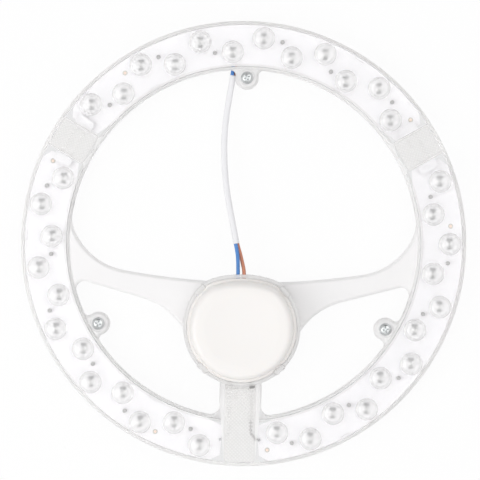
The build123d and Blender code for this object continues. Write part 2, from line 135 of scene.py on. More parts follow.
class Graph:
    """The node tree of a material or of the world."""

    def __init__(self, owner: bpy.types.Material | bpy.types.World) -> None:
        """Gives a material or the world an empty tree.

        Args:
            owner: The material or the world.
        """
        owner.use_nodes = True
        self.owner = owner
        self.tree = owner.node_tree
        self.tree.nodes.clear()

    @classmethod
    def material(cls, name: str) -> "Graph":
        """Starts a new material."""
        return cls(bpy.data.materials.new(name))

    def node(
        self,
        kind: str,
        settings: Mapping[str, Any] | None = None,
        sockets: Mapping[str | int, Any] | None = None,
    ) -> bpy.types.Node:
        """Adds a node.

        Args:
            kind: The node's type, without its common first word.
            settings: The node's own settings, set first; "stops" gives a ramp's stops.
            sockets: Values or links of its inputs, by name or place.

        Returns:
            The node.
        """
        made = self.tree.nodes.new("ShaderNode" + kind)
        for key, value in (settings or {}).items():
            if key == "stops":
                self._set_stops(made.color_ramp, value)
            else:
                setattr(made, key, value)
        for key, value in (sockets or {}).items():
            if isinstance(value, Term):
                value = value.socket
            if isinstance(value, bpy.types.Node):
                value = value.outputs[0]
            if isinstance(value, bpy.types.NodeSocket):
                self.tree.links.new(value, made.inputs[key])
            elif isinstance(value, tuple) and made.inputs[key].type == "RGBA":
                made.inputs[key].default_value = (*value, 1.0)
            else:
                made.inputs[key].default_value = value
        return made

    @staticmethod
    def _set_stops(ramp: bpy.types.ColorRamp, stops: Sequence[tuple[float, Colour]]) -> None:
        """Gives a ramp its stops, from the first place to the last.

        Args:
            ramp: The ramp.
            stops: Place and colour of each stop.
        """
        while len(ramp.elements) < len(stops):
            ramp.elements.new(1.0)
        for element, (place, colour) in zip(ramp.elements, stops):
            element.position = place
            element.color = (*colour, 1.0)

    def term(
        self,
        kind: str,
        settings: Mapping[str, Any] | None = None,
        sockets: Mapping[str | int, Any] | None = None,
        output: str | int = 0,
    ) -> Term:
        """Adds a node and wraps one of its outputs.

        Args:
            kind: The node's type.
            settings: Its settings.
            sockets: Its inputs.
            output: The output's name or place.

        Returns:
            The wrapped output.
        """
        return Term(self, self.node(kind, settings, sockets).outputs[output])

    def noise(self, scale: float, detail: float, stretch: Point = (1.0, 1.0, 1.0)) -> Term:
        """Soft noise in the object's own metres.

        Args:
            scale: Waves to a metre.
            detail: Finer octaves.
            stretch: How much each axis is scaled.

        Returns:
            A value about NOISE_MEAN.
        """
        place = self.node("TexCoord").outputs["Object"]
        spread = self.node("Mapping", {}, {"Vector": place, "Scale": stretch})
        return self.term("TexNoise", {}, {"Vector": spread, "Scale": scale, "Detail": detail})

    def blend(self, share: Any, first: Any, second: Any) -> bpy.types.NodeSocket:
        """Mixes two colours.

        Args:
            share: How much of the second shows.
            first: A colour or its socket.
            second: A colour or its socket.

        Returns:
            The mixed colour's socket.
        """
        return self.node("Mix", {"data_type": "RGBA"}, {0: share, 6: first, 7: second}).outputs[2]

    def output(self, surface: bpy.types.Node, kind: str = "OutputMaterial") -> None:
        """Links the last shader to the tree's output."""
        self.node(kind, {}, {"Surface": surface})


def scaled(colour: Colour, share: float) -> Colour:
    """A colour made darker or lighter by a share."""
    return tuple(min(1.0, part * share) for part in colour)


@dataclass(frozen=True)
class SolidFinish:
    """An opaque surface with slow colour drift, uneven gloss and a fine grain."""

    name: str
    colour: Colour
    drift: float = 0.06
    drift_scale: float = 60.0
    drift_detail: float = 4.0
    roughness: float = 0.45
    unevenness: float = 0.12
    grain_scale: float = 1800.0
    grain_detail: float = 2.0
    grain_depth: float = 0.00003
    grain_strength: float = 0.6
    stretch: Point = (1.0, 1.0, 1.0)
    metallic: float = 0.0
    coat: float = 0.0
    soft_glow: float = 0.0
    glow_reach: Point = (0.002, 0.0018, 0.0016)

    def material(self) -> bpy.types.Material:
        """Makes the finish's material.

        Returns:
            The material.
        """
        graph = Graph.material(self.name)
        slow = graph.noise(self.drift_scale, self.drift_detail, self.stretch)
        fine = graph.noise(self.grain_scale, self.grain_detail, self.stretch)
        dark = scaled(self.colour, 1.0 - self.drift)
        light = scaled(self.colour, 1.0 + self.drift / 2)
        uneven = ((slow - NOISE_MEAN) + (fine - NOISE_MEAN)) * self.unevenness
        grain = {"Strength": self.grain_strength, "Distance": self.grain_depth, "Height": fine}
        shader = graph.node(
            "BsdfPrincipled",
            {},
            {
                "Base Color": graph.blend(slow, dark, light),
                "Roughness": self.roughness + uneven,
                "Metallic": self.metallic,
                "Coat Weight": self.coat,
                "Subsurface Weight": self.soft_glow,
                "Subsurface Radius": self.glow_reach,
                "Normal": graph.node("Bump", {}, grain),
            },
        )
        graph.output(shader)
        return graph.owner


@dataclass(frozen=True)
class ClearFinish:
    """Clear or frosted plastic that lets the lamps through to what lies under it."""

    name: str
    tint: Colour
    roughness: float
    unevenness: float
    clearness: float = 1.0
    refraction: float = 1.49
    wave_scale: float = 45.0
    wave_detail: float = 3.0
    wave_depth: float = 0.00004
    wave_strength: float = 0.5
    fine_scale: float = 1350.0
    fine_detail: float = 2.0
    shade: Colour = (0.97, 0.97, 0.97)
    drift: float = 0.015
    # A ring of painted shade: its radius, half width and darker tint.
    shade_ring_radius: float = 0.0
    shade_ring_half: float = 0.7
    shade_ring_tint: Colour = (0.88, 0.875, 0.87)
    relief: tuple[float, float] | None = None
    # How dark the painted shade in the relief's valleys is, as a share of the tint.
    valley_shade_share: float = 0.86

    def _shade_ring(self, graph: Graph) -> Term:
        """Where a ring of painted shade round the ring's axis shows, from 0 to 1.

        Args:
            graph: The material's tree.

        Returns:
            The line's strength.
        """
        place = graph.node("TexCoord").outputs["Object"]
        level = graph.node("VectorMath", {"operation": "MULTIPLY"}, {0: place, 1: (1.0, 1.0, 0.0)})
        radius = graph.term("VectorMath", {"operation": "LENGTH"}, {0: level}, "Value")
        return (1.0 - abs(radius - self.shade_ring_radius * MM) * (1.0 / (self.shade_ring_half * MM))) | 0.0

    def _peak(self, graph: Graph) -> Term:
        """How near a spot is to the relief's peaks, from 0 in its valleys to 1.

        Args:
            graph: The material's tree.

        Returns:
            The share of the relief's height.
        """
        axes = graph.node("SeparateXYZ", {}, {"Vector": graph.node("TexCoord").outputs["Object"]})
        low, high = self.relief
        levels = {"Value": axes.outputs["Z"], "From Min": low * MM, "From Max": high * MM}
        return graph.term("MapRange", {}, levels)

    def material(self) -> bpy.types.Material:
        """Makes the finish's material.

        Returns:
            The material.
        """
        graph = Graph.material(self.name)
        slow = graph.noise(self.wave_scale, self.wave_detail)
        tint = graph.blend(slow, scaled(self.tint, 1.0 - self.drift), self.tint)
        # Painted shade: a darker ring is blended into the tint over the shaded gap at the boards' inner
        # edge.
        if self.shade_ring_radius:
            tint = graph.blend(self._shade_ring(graph), tint, self.shade_ring_tint)
        # Painted shade: the relief's valleys are tinted darker than its peaks.
        if self.relief:
            tint = graph.blend(self._peak(graph), scaled(self.tint, self.valley_shade_share), tint)
        fine = graph.noise(self.fine_scale, self.fine_detail)
        wave = {"Strength": self.wave_strength, "Distance": self.wave_depth, "Height": slow}
        plastic = graph.node(
            "BsdfPrincipled",
            {},
            {
                "Base Color": tint,
                "Roughness": self.roughness + (fine - NOISE_MEAN) * self.unevenness,
                "IOR": self.refraction,
                "Transmission Weight": self.clearness,
                "Normal": graph.node("Bump", {}, wave),
            },
        )
        through = graph.node("BsdfTransparent", {}, {"Color": self.shade})
        path = graph.node("LightPath")
        mixed = graph.node("MixShader", {}, {0: path.outputs["Is Shadow Ray"], 1: plastic, 2: through})
        graph.output(mixed)
        return graph.owner


class Finishes:
    """Every finish of the module; a material is made when it is first asked for."""

    # The clear plate has a ring of painted shade at 91.6 mm, over the gap at the boards' inner edge.
    clear = ClearFinish("clear_plastic", (0.97, 0.97, 0.975), 0.04, 0.03, shade_ring_radius=91.6)
    rim = ClearFinish("rim_plastic", (0.96, 0.952, 0.948), 0.5, 0.08, clearness=0.55)
    pale = ClearFinish("pale_plastic", (0.97, 0.965, 0.965), 0.45, 0.06, clearness=0.4)
    lens = ClearFinish(
        "lens_plastic", (1.0, 1.0, 1.0), 0.05, 0.02, clearness=0.68, drift=0.0, shade=(1.0, 1.0, 1.0)
    )
    # Painted shade: the lens foot is tinted greyer than the lens, for the grey ring round each dome's
    # foot.
    foot = ClearFinish("lens_foot_shade_plastic", (0.95, 0.945, 0.945), 0.2, 0.05, clearness=0.6)
    # The prisms' valleys, between 13.85 and 14.3 mm, get painted shade.
    prism = ClearFinish(
        "prism_plastic", (1.0, 0.99, 0.985), 0.25, 0.06, clearness=0.45, relief=(13.85, 14.3)
    )
    frosted = ClearFinish("frosted_plastic", (0.97, 0.962, 0.965), 0.42, 0.10, clearness=0.12)
    board_mask = SolidFinish(
        "white_solder_mask", (0.965, 0.955, 0.965), drift=0.02, drift_scale=90.0, roughness=0.42, coat=0.15
    )
    grey_rubber = SolidFinish("grey_rubber", (0.30, 0.295, 0.295), drift=0.1, roughness=0.6)
    pale_rubber = SolidFinish("pale_rubber", (0.76, 0.755, 0.75), drift=0.05, roughness=0.6)
    emitter_case = SolidFinish("emitter_case", (0.90, 0.90, 0.89), drift=0.04, roughness=0.38)
    # Painted shade: the tin ends are dark grey, the upper one darker, to stand for the dark figure that
    # shade and reflection make in each lens.
    top_tin_painted_shade = SolidFinish("top_tin_painted_shade", (0.26, 0.26, 0.262), drift=0.15, drift_scale=900.0, roughness=0.5)
    bottom_tin_painted_shade = SolidFinish("bottom_tin_painted_shade", (0.28, 0.28, 0.28), drift=0.15, drift_scale=900.0, roughness=0.5)
    reflector = SolidFinish(
        "emitter_reflector", (0.82, 0.82, 0.83), drift=0.08, drift_scale=900.0, roughness=0.2, metallic=1.0
    )
    phosphor = SolidFinish(
        "emitter_phosphor", (0.62, 0.615, 0.58), drift=0.12, drift_scale=900.0, roughness=0.5,
        grain_scale=6000.0,
    )
    copper_pad = SolidFinish(
        "copper_pad", (0.95, 0.78, 0.66), drift=0.10, drift_scale=700.0, roughness=0.4, metallic=0.3
    )
    pad_rim = SolidFinish("pad_rim", (0.66, 0.63, 0.58), drift=0.15, drift_scale=900.0, roughness=0.5)
    # Painted shade: grey rivets take the clear pins' place and stand for the dark pin holes, which lie in
    # shade.
    rivet = SolidFinish("pin_shade_rivet", (0.50, 0.49, 0.485), drift=0.12, drift_scale=500.0, roughness=0.55)
    film = SolidFinish("white_film", (0.92, 0.912, 0.92), drift=0.02, drift_scale=300.0, roughness=0.5)
    solder = SolidFinish(
        "solder", (0.66, 0.66, 0.67), drift=0.12, drift_scale=600.0, roughness=0.3, unevenness=0.2,
        metallic=1.0,
    )
    cap_plastic = SolidFinish(
        "warm_white_plastic", (0.955, 0.93, 0.91), drift=0.02, drift_scale=35.0, roughness=0.40,
        grain_scale=2600.0, grain_depth=0.00002, soft_glow=0.15,
    )
    nickel = SolidFinish(
        "nickel_cup", (0.94, 0.94, 0.94), drift=0.06, drift_scale=260.0, roughness=0.42, unevenness=0.18,
        metallic=1.0,
    )
    magnet_face = SolidFinish(
        "magnet_face", (0.30, 0.30, 0.31), drift=0.2, drift_scale=420.0, roughness=0.5, metallic=0.6
    )
    zinc = SolidFinish(
        "blue_zinc_steel", (0.68, 0.70, 0.705), drift=0.12, drift_scale=520.0, roughness=0.24,
        unevenness=0.16, metallic=1.0,
    )
    sheath = SolidFinish(
        "sheath_vinyl", (0.88, 0.88, 0.90), drift=0.03, drift_scale=120.0, roughness=0.5,
        grain_scale=2200.0, grain_depth=0.00004,
    )
    blue_core = SolidFinish(
        "blue_vinyl", (0.085, 0.26, 0.64), drift=0.10, drift_scale=200.0, roughness=0.38
    )
    brown_core = SolidFinish(
        "brown_vinyl", (0.66, 0.26, 0.16), drift=0.12, drift_scale=200.0, roughness=0.38
    )
    white_wire = SolidFinish(
        "white_vinyl", (0.93, 0.93, 0.93), drift=0.03, drift_scale=200.0, roughness=0.42
    )
    black_wire = SolidFinish(
        "black_vinyl", (0.10, 0.085, 0.085), drift=0.2, drift_scale=200.0, roughness=0.42
    )
    strands = SolidFinish(
        "tinned_strands", (0.72, 0.68, 0.62), drift=0.15, drift_scale=900.0, roughness=0.32, metallic=1.0
    )
    laminate = SolidFinish(
        "driver_laminate", (0.60, 0.49, 0.24), drift=0.10, drift_scale=140.0, roughness=0.5,
        stretch=(1.0, 6.0, 1.0),
    )
    ferrite = SolidFinish(
        "ferrite", (0.035, 0.035, 0.038), drift=0.25, drift_scale=500.0, roughness=0.62,
        grain_depth=0.00008,
    )
    coil_tape = SolidFinish(
        "coil_tape", (0.70, 0.46, 0.04), drift=0.08, drift_scale=180.0, roughness=0.33,
        stretch=(1.0, 1.0, 12.0),
    )
    can_sleeve = SolidFinish(
        "can_sleeve", (0.02, 0.022, 0.03), drift=0.2, drift_scale=160.0, roughness=0.3
    )
    film_case = SolidFinish(
        "film_case", (0.52, 0.33, 0.03), drift=0.08, drift_scale=130.0, roughness=0.32
    )
    black_case = SolidFinish(
        "black_case", (0.014, 0.014, 0.015), drift=0.3, drift_scale=600.0, roughness=0.6
    )
    fuse_case = SolidFinish(
        "fuse_case", (0.13, 0.25, 0.18), drift=0.12, drift_scale=260.0, roughness=0.45
    )
    terminal = SolidFinish(
        "terminal_plastic", (0.80, 0.79, 0.75), drift=0.05, drift_scale=120.0, roughness=0.45
    )

    _made: dict[str, bpy.types.Material] = {}

    @classmethod
    def material(cls, finish: SolidFinish | ClearFinish) -> bpy.types.Material:
        """The finish's material, made once.

        Args:
            finish: The finish.

        Returns:
            Its material.
        """
        if finish.name not in cls._made:
            cls._made[finish.name] = finish.material()
        return cls._made[finish.name]


def polar(radius: float, degrees: float) -> Spot:
    """A point at a distance from the ring's axis, in a direction in degrees."""
    return radius * cos(radians(degrees)), radius * sin(radians(degrees))


def loop(half_x: float, half_y: float, count: int, squareness: float = 2.0) -> list[Spot]:
    """A rounded closed outline about the origin.

    Args:
        half_x: Half its length along X.
        half_y: Half its length along Y.
        count: How many points it has.
        squareness: 2 is an ellipse, and more is nearer to a rectangle.

    Returns:
        Its points, counter-clockwise.
    """
    points = []
    for k in range(count):
        c = cos(2 * pi * k / count)
        s = sin(2 * pi * k / count)
        x = abs(c) ** (2 / squareness) * (1 if c > 0 else -1)
        y = abs(s) ** (2 / squareness) * (1 if s > 0 else -1)
        points.append((half_x * x, half_y * y))
    return points


def placed(spot: Spot, degrees: float) -> Matrix:
    """The move to a spot after a turn about the upright axis."""
    return Matrix.Translation((*spot, 0.0)) @ Matrix.Rotation(radians(degrees), 4, "Z")


def heading(line: Sequence[Vector], k: int) -> Vector:
    """The way that a line runs at one of its points."""
    return (line[min(k + 1, len(line) - 1)] - line[max(k - 1, 0)]).normalized()


class Form:
    """A mesh in the making, in millimetres, to which closed skins are added."""

    def __init__(self) -> None:
        """Starts an empty mesh."""
        self.mesh = bmesh.new()

    def skin(
        self,
        rows: Sequence[Sequence[Iterable[float]]],
        finish_of: Sequence[int] | None = None,
    ) -> None:
        """Adds a closed skin through loops of points.

        Args:
            rows: Loops with equal counts; a first or last loop of one point closes the end
                in a tip, and any other end is closed flat.
            finish_of: Which finish each band between two loops has.
        """
        rings = [[self.mesh.verts.new(tuple(p)) for p in row] for row in rows]
        for band, (low, high) in enumerate(zip(rings, rings[1:])):
            count = max(len(low), len(high))
            for k in range(count):
                after = (k + 1) % count
                corners = [low[k % len(low)], low[after % len(low)]]
                corners += [high[after % len(high)], high[k % len(high)]]
                face = self.mesh.faces.new(list(dict.fromkeys(corners)))
                face.material_index = finish_of[band] if finish_of else 0
        for end, ring in ((0, rings[0]), (-1, rings[-1])):
            if len(ring) > 1:
                face = self.mesh.faces.new(ring)
                face.material_index = finish_of[end] if finish_of else 0

    def lathe(
        self,
        profile: Sequence[tuple[float, float]],
        place: Spot,
        count: int,
        finish_of: Sequence[int] | None = None,
    ) -> None:
        """Adds a form turned about an upright axis.

        Args:
            profile: Radius and level of each loop.
            place: Where the axis stands.
            count: Points round the axis.
            finish_of: Which finish each band has.
        """
        rows = []
        for radius, level in profile:
            ring = loop(radius, radius, count) if radius > 0 else [(0.0, 0.0)]
            rows.append([(place[0] + x, place[1] + y, level) for x, y in ring])
        self.skin(rows, finish_of)

    def tube(self, line: Sequence[Vector], radius: float, count: int) -> None:
        """Adds a round tube along a line.

        Args:
            line: The points of its middle line.
            radius: Its radius.
            count: Points round it.
        """
        rows = []
        for k, middle in enumerate(line):
            way = heading(line, k)
            side = way.orthogonal() if k == 0 else side - way * side.dot(way)
            side.normalize()
            across = way.cross(side)
            rows.append([middle + side * x + across * y for x, y in loop(radius, radius, count)])
        self.skin(rows)

    def piece(
        self,
        name: str,
        *finishes: SolidFinish | ClearFinish,
        sharp: float = SHARP_ANGLE,
    ) -> bpy.types.Object:
        """Turns the mesh into an object in metres.

        Args:
            name: The object's name.
            finishes: Its finishes, in the order of their places.
            sharp: Edges above this angle stay sharp.

        Returns:
            The object.
        """
        bmesh.ops.recalc_face_normals(self.mesh, faces=self.mesh.faces)
        bmesh.ops.scale(self.mesh, vec=(MM, MM, MM), verts=self.mesh.verts)
        data = bpy.data.meshes.new(name)
        self.mesh.to_mesh(data)
        self.mesh.free()
        data.shade_smooth()
        data.set_sharp_from_angle(angle=radians(sharp))
        for finish in finishes:
            data.materials.append(Finishes.material(finish))
        made = bpy.data.objects.new(name, data)
        bpy.context.scene.collection.objects.link(made)
        return made


def combine(piece: bpy.types.Object, form: Form, how: Join) -> None:
    """Adds a form to a piece or cuts it out of the piece, and drops the form.

    Args:
        piece: The piece that is changed.
        form: The tool form.
        how: Whether it is added or cut.
    """
    tool = form.piece("tool_form")
    step = piece.modifiers.new("join", "BOOLEAN")
    step.operation = how.value
    step.solver = "MANIFOLD"
    step.object = tool
    before = piece.data
    piece.data = bpy.data.meshes.new_from_object(
        piece.evaluated_get(bpy.context.evaluated_depsgraph_get())
    )
    piece.modifiers.clear()
    bpy.data.meshes.remove(before)
    bpy.data.objects.remove(tool)


def place_piece(piece: bpy.types.Object, slot: str, *nodes: str) -> bpy.types.Object:
    """Lets a piece ride on the module, in place of CAD nodes.

    Args:
        piece: The piece.
        slot: The record's material slot; not used.
        nodes: The CAD nodes that it stands for.

    Returns:
        The piece.
    """
    if nodes:
        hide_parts(*nodes)
    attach(piece, BODY)
    log.info("%s stands for %s", piece.name, ", ".join(nodes) or "nothing in the CAD")
    return piece


def paint_node(node: str, finish: SolidFinish) -> None:
    """Gives a CAD node that stays a finish of its own."""
    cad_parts[node].material_slots[0].material = Finishes.material(finish)
    log.info("%s keeps its CAD shape in %s", node, finish.name)


@dataclass(frozen=True)
class RingPlan:
    """Where things sit round the ring."""

    lens_count: int = 12
    lens_pitch: float = 8.87
    lens_outer_row: float = 105.65
    lens_inner_row: float = 98.3
    pin_outer_row: float = 105.2
    pin_inner_row: float = 98.9
    pin_step: float = 3.55
    lug_row: float = 85.2

    def _first(self, segment: Segment) -> float:
        """The direction of a board's first lens."""
        return segment.value + self.lens_pitch * (self.lens_count - 1) / 2

    def lenses(self, segment: Segment) -> list[Spot]:
        """A board's lens centres, in the outer and the inner row by turns.

        Args:
            segment: The board.

        Returns:
            The centres.
        """
        rows = (self.lens_outer_row, self.lens_inner_row)
        first = self._first(segment)
        return [polar(rows[k % 2], first - k * self.lens_pitch) for k in range(self.lens_count)]

    def pins(self, segment: Segment) -> list[Spot]:
        """A board's pin centres, beside an outer and an inner lens by turns.

        Args:
            segment: The board.

        Returns:
            The centres.
        """
        places = []
        for pair in range(self.lens_count // 2):
            outer_lens = self._first(segment) - 2 * pair * self.lens_pitch
            if pair % 2:
                places.append(polar(self.pin_outer_row, outer_lens - self.lens_pitch + self.pin_step))
            else:
                places.append(polar(self.pin_inner_row, outer_lens - self.pin_step))
        return places

    def lug(self, segment: Segment) -> Spot:
        """The middle of a segment's lug."""
        return polar(self.lug_row, segment.value)


@dataclass(frozen=True)
class HubPlan:
    """The hub's outline: a low arc and a flatter top arc, joined by a tangent arc at each corner."""

    middle_y: float = -43.0
    radius: float = 30.0
    top_y: float = -15.8
    top_radius: float = 51.0
    corner_radius: float = 14.0
    low_count: int = 60
    top_count: int = 26
    corner_count: int = 18

    def outline(self, inset: float) -> list[Spot]:
        """The outline moved inwards.

        Args:
            inset: How far, in millimetres.

        Returns:
            Its points, counter-clockwise, the same count for any inset.
        """
        low_reach = self.radius - self.corner_radius
        top_reach = self.top_radius - self.corner_radius
        top_middle = self.top_y - self.top_radius
        apart = self.middle_y - top_middle
        corner_y = (top_reach**2 - low_reach**2) / (2 * apart) + (self.middle_y + top_middle) / 2
        corner_x = sqrt(low_reach**2 - (corner_y - self.middle_y) ** 2)
        low_turn = atan2(corner_y - self.middle_y, corner_x)
        top_turn = atan2(corner_y - top_middle, corner_x)
        arcs = (
            (0.0, self.middle_y, self.radius, -pi - low_turn, low_turn, self.low_count),
            (corner_x, corner_y, self.corner_radius, low_turn, top_turn, self.corner_count),
            (0.0, top_middle, self.top_radius, top_turn, pi - top_turn, self.top_count),
            (-corner_x, corner_y, self.corner_radius, pi - top_turn, pi - low_turn, self.corner_count),
        )
        points = []
        for x, y, radius, start, end, count in arcs:
            for k in range(count):
                turn = start + (end - start) * k / count
                points.append((x + (radius - inset) * cos(turn), y + (radius - inset) * sin(turn)))
        return points


@dataclass
class Wiring:
    """The mains lead with its two cores, and the leads to the boards with their stoppers."""

    curve_steps: int = 10
    curve_order: int = 3
    round_steps: int = 5
    sheath_route: tuple[Spot, ...] = (
        (-3.65, -0.2), (-6.7, 14.2), (-9.4, 27.3), (-10.75, 40.4),
        (-11.2, 54.0), (-10.2, 66.8), (-8.7, 76.5), (-7.3, 86.5),
    )
    sheath_rise: float = 8.67
    sheath_fall: float = 0.0618
    sheath_half: tuple[float, float] = (2.6, 1.6)
    sheath_count: int = 28
    sheath_squareness: float = 3.2
    mouth_share: float = 0.84
    mouth_ease: float = 0.3
    core_radius: float = 0.95
    core_lift: float = 0.975
    core_side: float = 0.45
    core_swing: float = 0.5
    core_straight: float = 4.4
    blue_start: tuple[Point, ...] = ((-2.5, -21.5, 11.8), (-2.5, -14.8, 11.8), (-2.75, -7.8, 10.9))
    brown_start: tuple[Point, ...] = ((0.6, -21.5, 11.4), (0.9, -15.2, 11.4), (-0.8, -8.2, 8.9))
    ring_route: tuple[Spot, ...] = ((-7.2, 97.5), (-11.5, 102.0), (-18.0, 103.0), (-24.2, 101.4))
    blue_levels: tuple[float, ...] = (3.4, 3.1, 2.95, 2.9)
    brown_levels: tuple[float, ...] = (1.5, 1.15, 1.0, 0.98)
    core_length: float = 0.142
    sheath_length: float = 0.0868
    tip_length: float = 7.0
    tip_rows: int = 14
    strand_count: int = 6
    strand_radius: float = 0.15
    strand_sides: int = 8
    strand_twist: float = 9.0
    output_route: tuple[Point, ...] = (
        (5.6, -67.5, 9.4), (5.6, -79.0, 9.4), (5.6, -91.5, 9.9), (5.7, -98.6, 10.6), (8.9, -100.7, 10.8),
    )
    output_radius: float = 0.75
    output_length: float = 0.035
    stopper_middle: Spot = (5.94, -73.27)
    stopper_turn: float = 11.1
    stopper_half: tuple[float, float] = (1.45, 0.6)
    stopper_levels: tuple[float, float] = (8.3, 13.9)
    stopper_count: int = 24
    stopper_squareness: float = 4.0

    def build(self) -> None:
        """Makes every cord and the stoppers."""
        tips = self._tips()
        self._core("blue", Finishes.blue_core)
        self._core("brown", Finishes.brown_core)
        self._sheath()
        self._output("dark", 1.0, Finishes.black_wire, "black_insulation")
        self._stopper("dark", 1.0, Finishes.grey_rubber, "black_insulation")
        self._output("white", -1.0, Finishes.white_wire, "white_insulation")
        self._stopper("white", -1.0, Finishes.pale_rubber, "white_insulation")

    def _spline(self, name: str, points: Sequence[Vector], radius: float) -> bpy.types.Object:
        """A smooth curve with the route's points as its control points.

        Args:
            name: The object's name.
            points: The route in millimetres.
            radius: The cord's radius in millimetres, or 0 for a bare line.

        Returns:
            The curve object.
        """
        data = bpy.data.curves.new(name, "CURVE")
        data.dimensions = "3D"
        data.bevel_depth = radius * MM
        data.bevel_resolution = self.round_steps
        data.resolution_u = self.curve_steps
        data.use_fill_caps = True
        spline = data.splines.new("NURBS")
        spline.points.add(len(points) - 1)
        for control, point in zip(spline.points, points):
            control.co = (*(point * MM), 1.0)
        spline.order_u = self.curve_order
        spline.use_endpoint_u = True
        made = bpy.data.objects.new(name, data)
        bpy.context.scene.collection.objects.link(made)
        return made

    def _up(self) -> Vector:
        """The way the sheath's wide side stands."""
        return Vector((0.0, self.sheath_fall, 1.0)).normalized()

    def _sheath_points(self) -> list[Vector]:
        """The sheath's route in its falling plane."""
        return [Vector((x, y, self.sheath_rise - self.sheath_fall * y)) for x, y in self.sheath_route]

    def _core_route(self, colour: str) -> list[Vector]:
        """A core's route from the driver through the sheath to its far end behind the ring.

        Args:
            colour: "blue" or "brown".

        Returns:
            The route's points.
        """
        blue = colour == "blue"
        shift = self._up() * self.core_lift - Vector((self.core_side, 0.0, 0.0))
        inside = [point + (shift if blue else -shift) for point in self._sheath_points()]
        swing = Vector((0.0 if blue else self.core_swing, 0.0, 0.0))
        start_way = (inside[1] - inside[0]).normalized()
        end_way = (inside[-1] - inside[-2]).normalized()
        route = [Vector(p) for p in (self.blue_start if blue else self.brown_start)]
        route.append(inside[0] - start_way * self.core_straight + swing)
        route += inside
        route.append(inside[-1] + end_way * self.core_straight + swing)
        levels = self.blue_levels if blue else self.brown_levels
        return route + [Vector((x, y, z)) for (x, y), z in zip(self.ring_route, levels)]

    def _core(self, colour: str, finish: SolidFinish) -> None:
        """One insulated core of the mains lead.

        Args:
            colour: "blue" or "brown".
            finish: Its finish.
        """
        route = self._core_route(colour)
        core = self._spline(f"core_{colour}", route, self.core_radius)
        core.data.materials.append(Finishes.material(finish))
        place_piece(core, f"core_{colour}", f"mains_core_{colour}")
        tuple(route[0] * MM)

    def _sheath(self) -> None:
        """The flat white sheath round both cores."""
        guide = self._spline("sheath_guide", self._sheath_points(), 0.0)
        data = bpy.data.meshes.new_from_object(
            guide.evaluated_get(bpy.context.evaluated_depsgraph_get())
        )
        line = [vertex.co / MM for vertex in data.vertices]
        bpy.data.objects.remove(guide)
        bpy.data.meshes.remove(data)
        up = self._up()
        outline = loop(*self.sheath_half, self.sheath_count, self.sheath_squareness)
        rows = []
        for k, middle in enumerate(line):
            side = heading(line, k).cross(up).normalized()
            rows.append([middle + up * a + side * b for a, b in outline])
        for end, inward in ((0, 1), (-1, -2)):
            middle = line[end]
            ease = (line[inward] - middle).normalized() * self.mouth_ease
            mouth = [middle + (point - middle) * self.mouth_share for point in rows[end]]
            rows[end] = [point + ease for point in rows[end]]
            rows.insert(0 if end == 0 else len(rows), mouth)
        form = Form()
        form.skin(rows)
        sheath = place_piece(form.piece("sheath_flat", Finishes.sheath), "sheath_white", "mains_sheath")

    def _tips(self) -> bpy.types.Object:
        """The bare twisted strands at the far ends of both cores.

        Returns:
            The piece.
        """
        form = Form()
        for colour in ("blue", "brown"):
            route = self._core_route(colour)
            way = (route[-1] - route[-2]).normalized()
            side = way.orthogonal().normalized()
            across = way.cross(side)
            steps = [self.tip_length * k / self.tip_rows for k in range(self.tip_rows + 1)]
            core = [route[-1] + way * step for step in steps]
            form.tube(core, self.strand_radius, self.strand_sides)
            for strand in range(self.strand_count):
                line = []
                for step, middle in zip(steps, core):
                    turn = 2 * pi * (strand / self.strand_count + step / self.strand_twist)
                    outward = side * cos(turn) + across * sin(turn)
                    line.append(middle + outward * 2 * self.strand_radius)
                form.tube(line, self.strand_radius, self.strand_sides)
        return place_piece(form.piece("bare_strands", Finishes.strands), "tinned_copper", "core_tips")

    def _output(self, word: str, side: float, finish: SolidFinish, slot: str) -> None:
        """A lead from the driver along the spoke to a board.

        Args:
            word: The lead's name.
            side: 1 for the right, -1 for the left.
            finish: Its finish.
            slot: Its record slot.
        """
        route = [Vector((side * x, y, z)) for x, y, z in self.output_route]
        lead = self._spline(f"board_lead_{word}", route, self.output_radius)
        lead.data.materials.append(Finishes.material(finish))
        place_piece(lead, slot, f"output_lead_{word}")

    def _stopper(self, word: str, side: float, finish: SolidFinish, slot: str) -> None:
        """The block round a lead where it leaves the hub.

        Args:
            word: The lead's name.
            side: 1 for the right, -1 for the left.
            finish: Its finish.
            slot: Its record slot.
        """
        form = Form()
        form.skin(self.stopper_rows(side, self.stopper_levels))
        place_piece(form.piece(f"lead_stopper_{word}", finish), slot)

    def stopper_rows(
        self,
        side: float,
        levels: tuple[float, float],
        gap: float = 0.0,
    ) -> list[list[Vector]]:
        """A stopper's outline at two levels.

        Args:
            side: 1 for the right, -1 for the left.
            levels: The two levels.
            gap: How much wider than the stopper the outline is.

        Returns:
            The points of both outlines.
        """
        x, y = self.stopper_middle
        place = placed((side * x, y), side * self.stopper_turn)
        halves = [half + gap for half in self.stopper_half]
        outline = loop(*halves, self.stopper_count, self.stopper_squareness)
        return [[place @ Vector((a, b, level)) for a, b in outline] for level in levels]


class Zone(Enum):
    """The clear moulding's zones, each with its finish."""

    CLEAR = Finishes.clear
    FROSTED = Finishes.frosted
    RIM = Finishes.rim
    PALE = Finishes.pale
    LENS = Finishes.lens
    FOOT = Finishes.foot
    PRISM = Finishes.prism


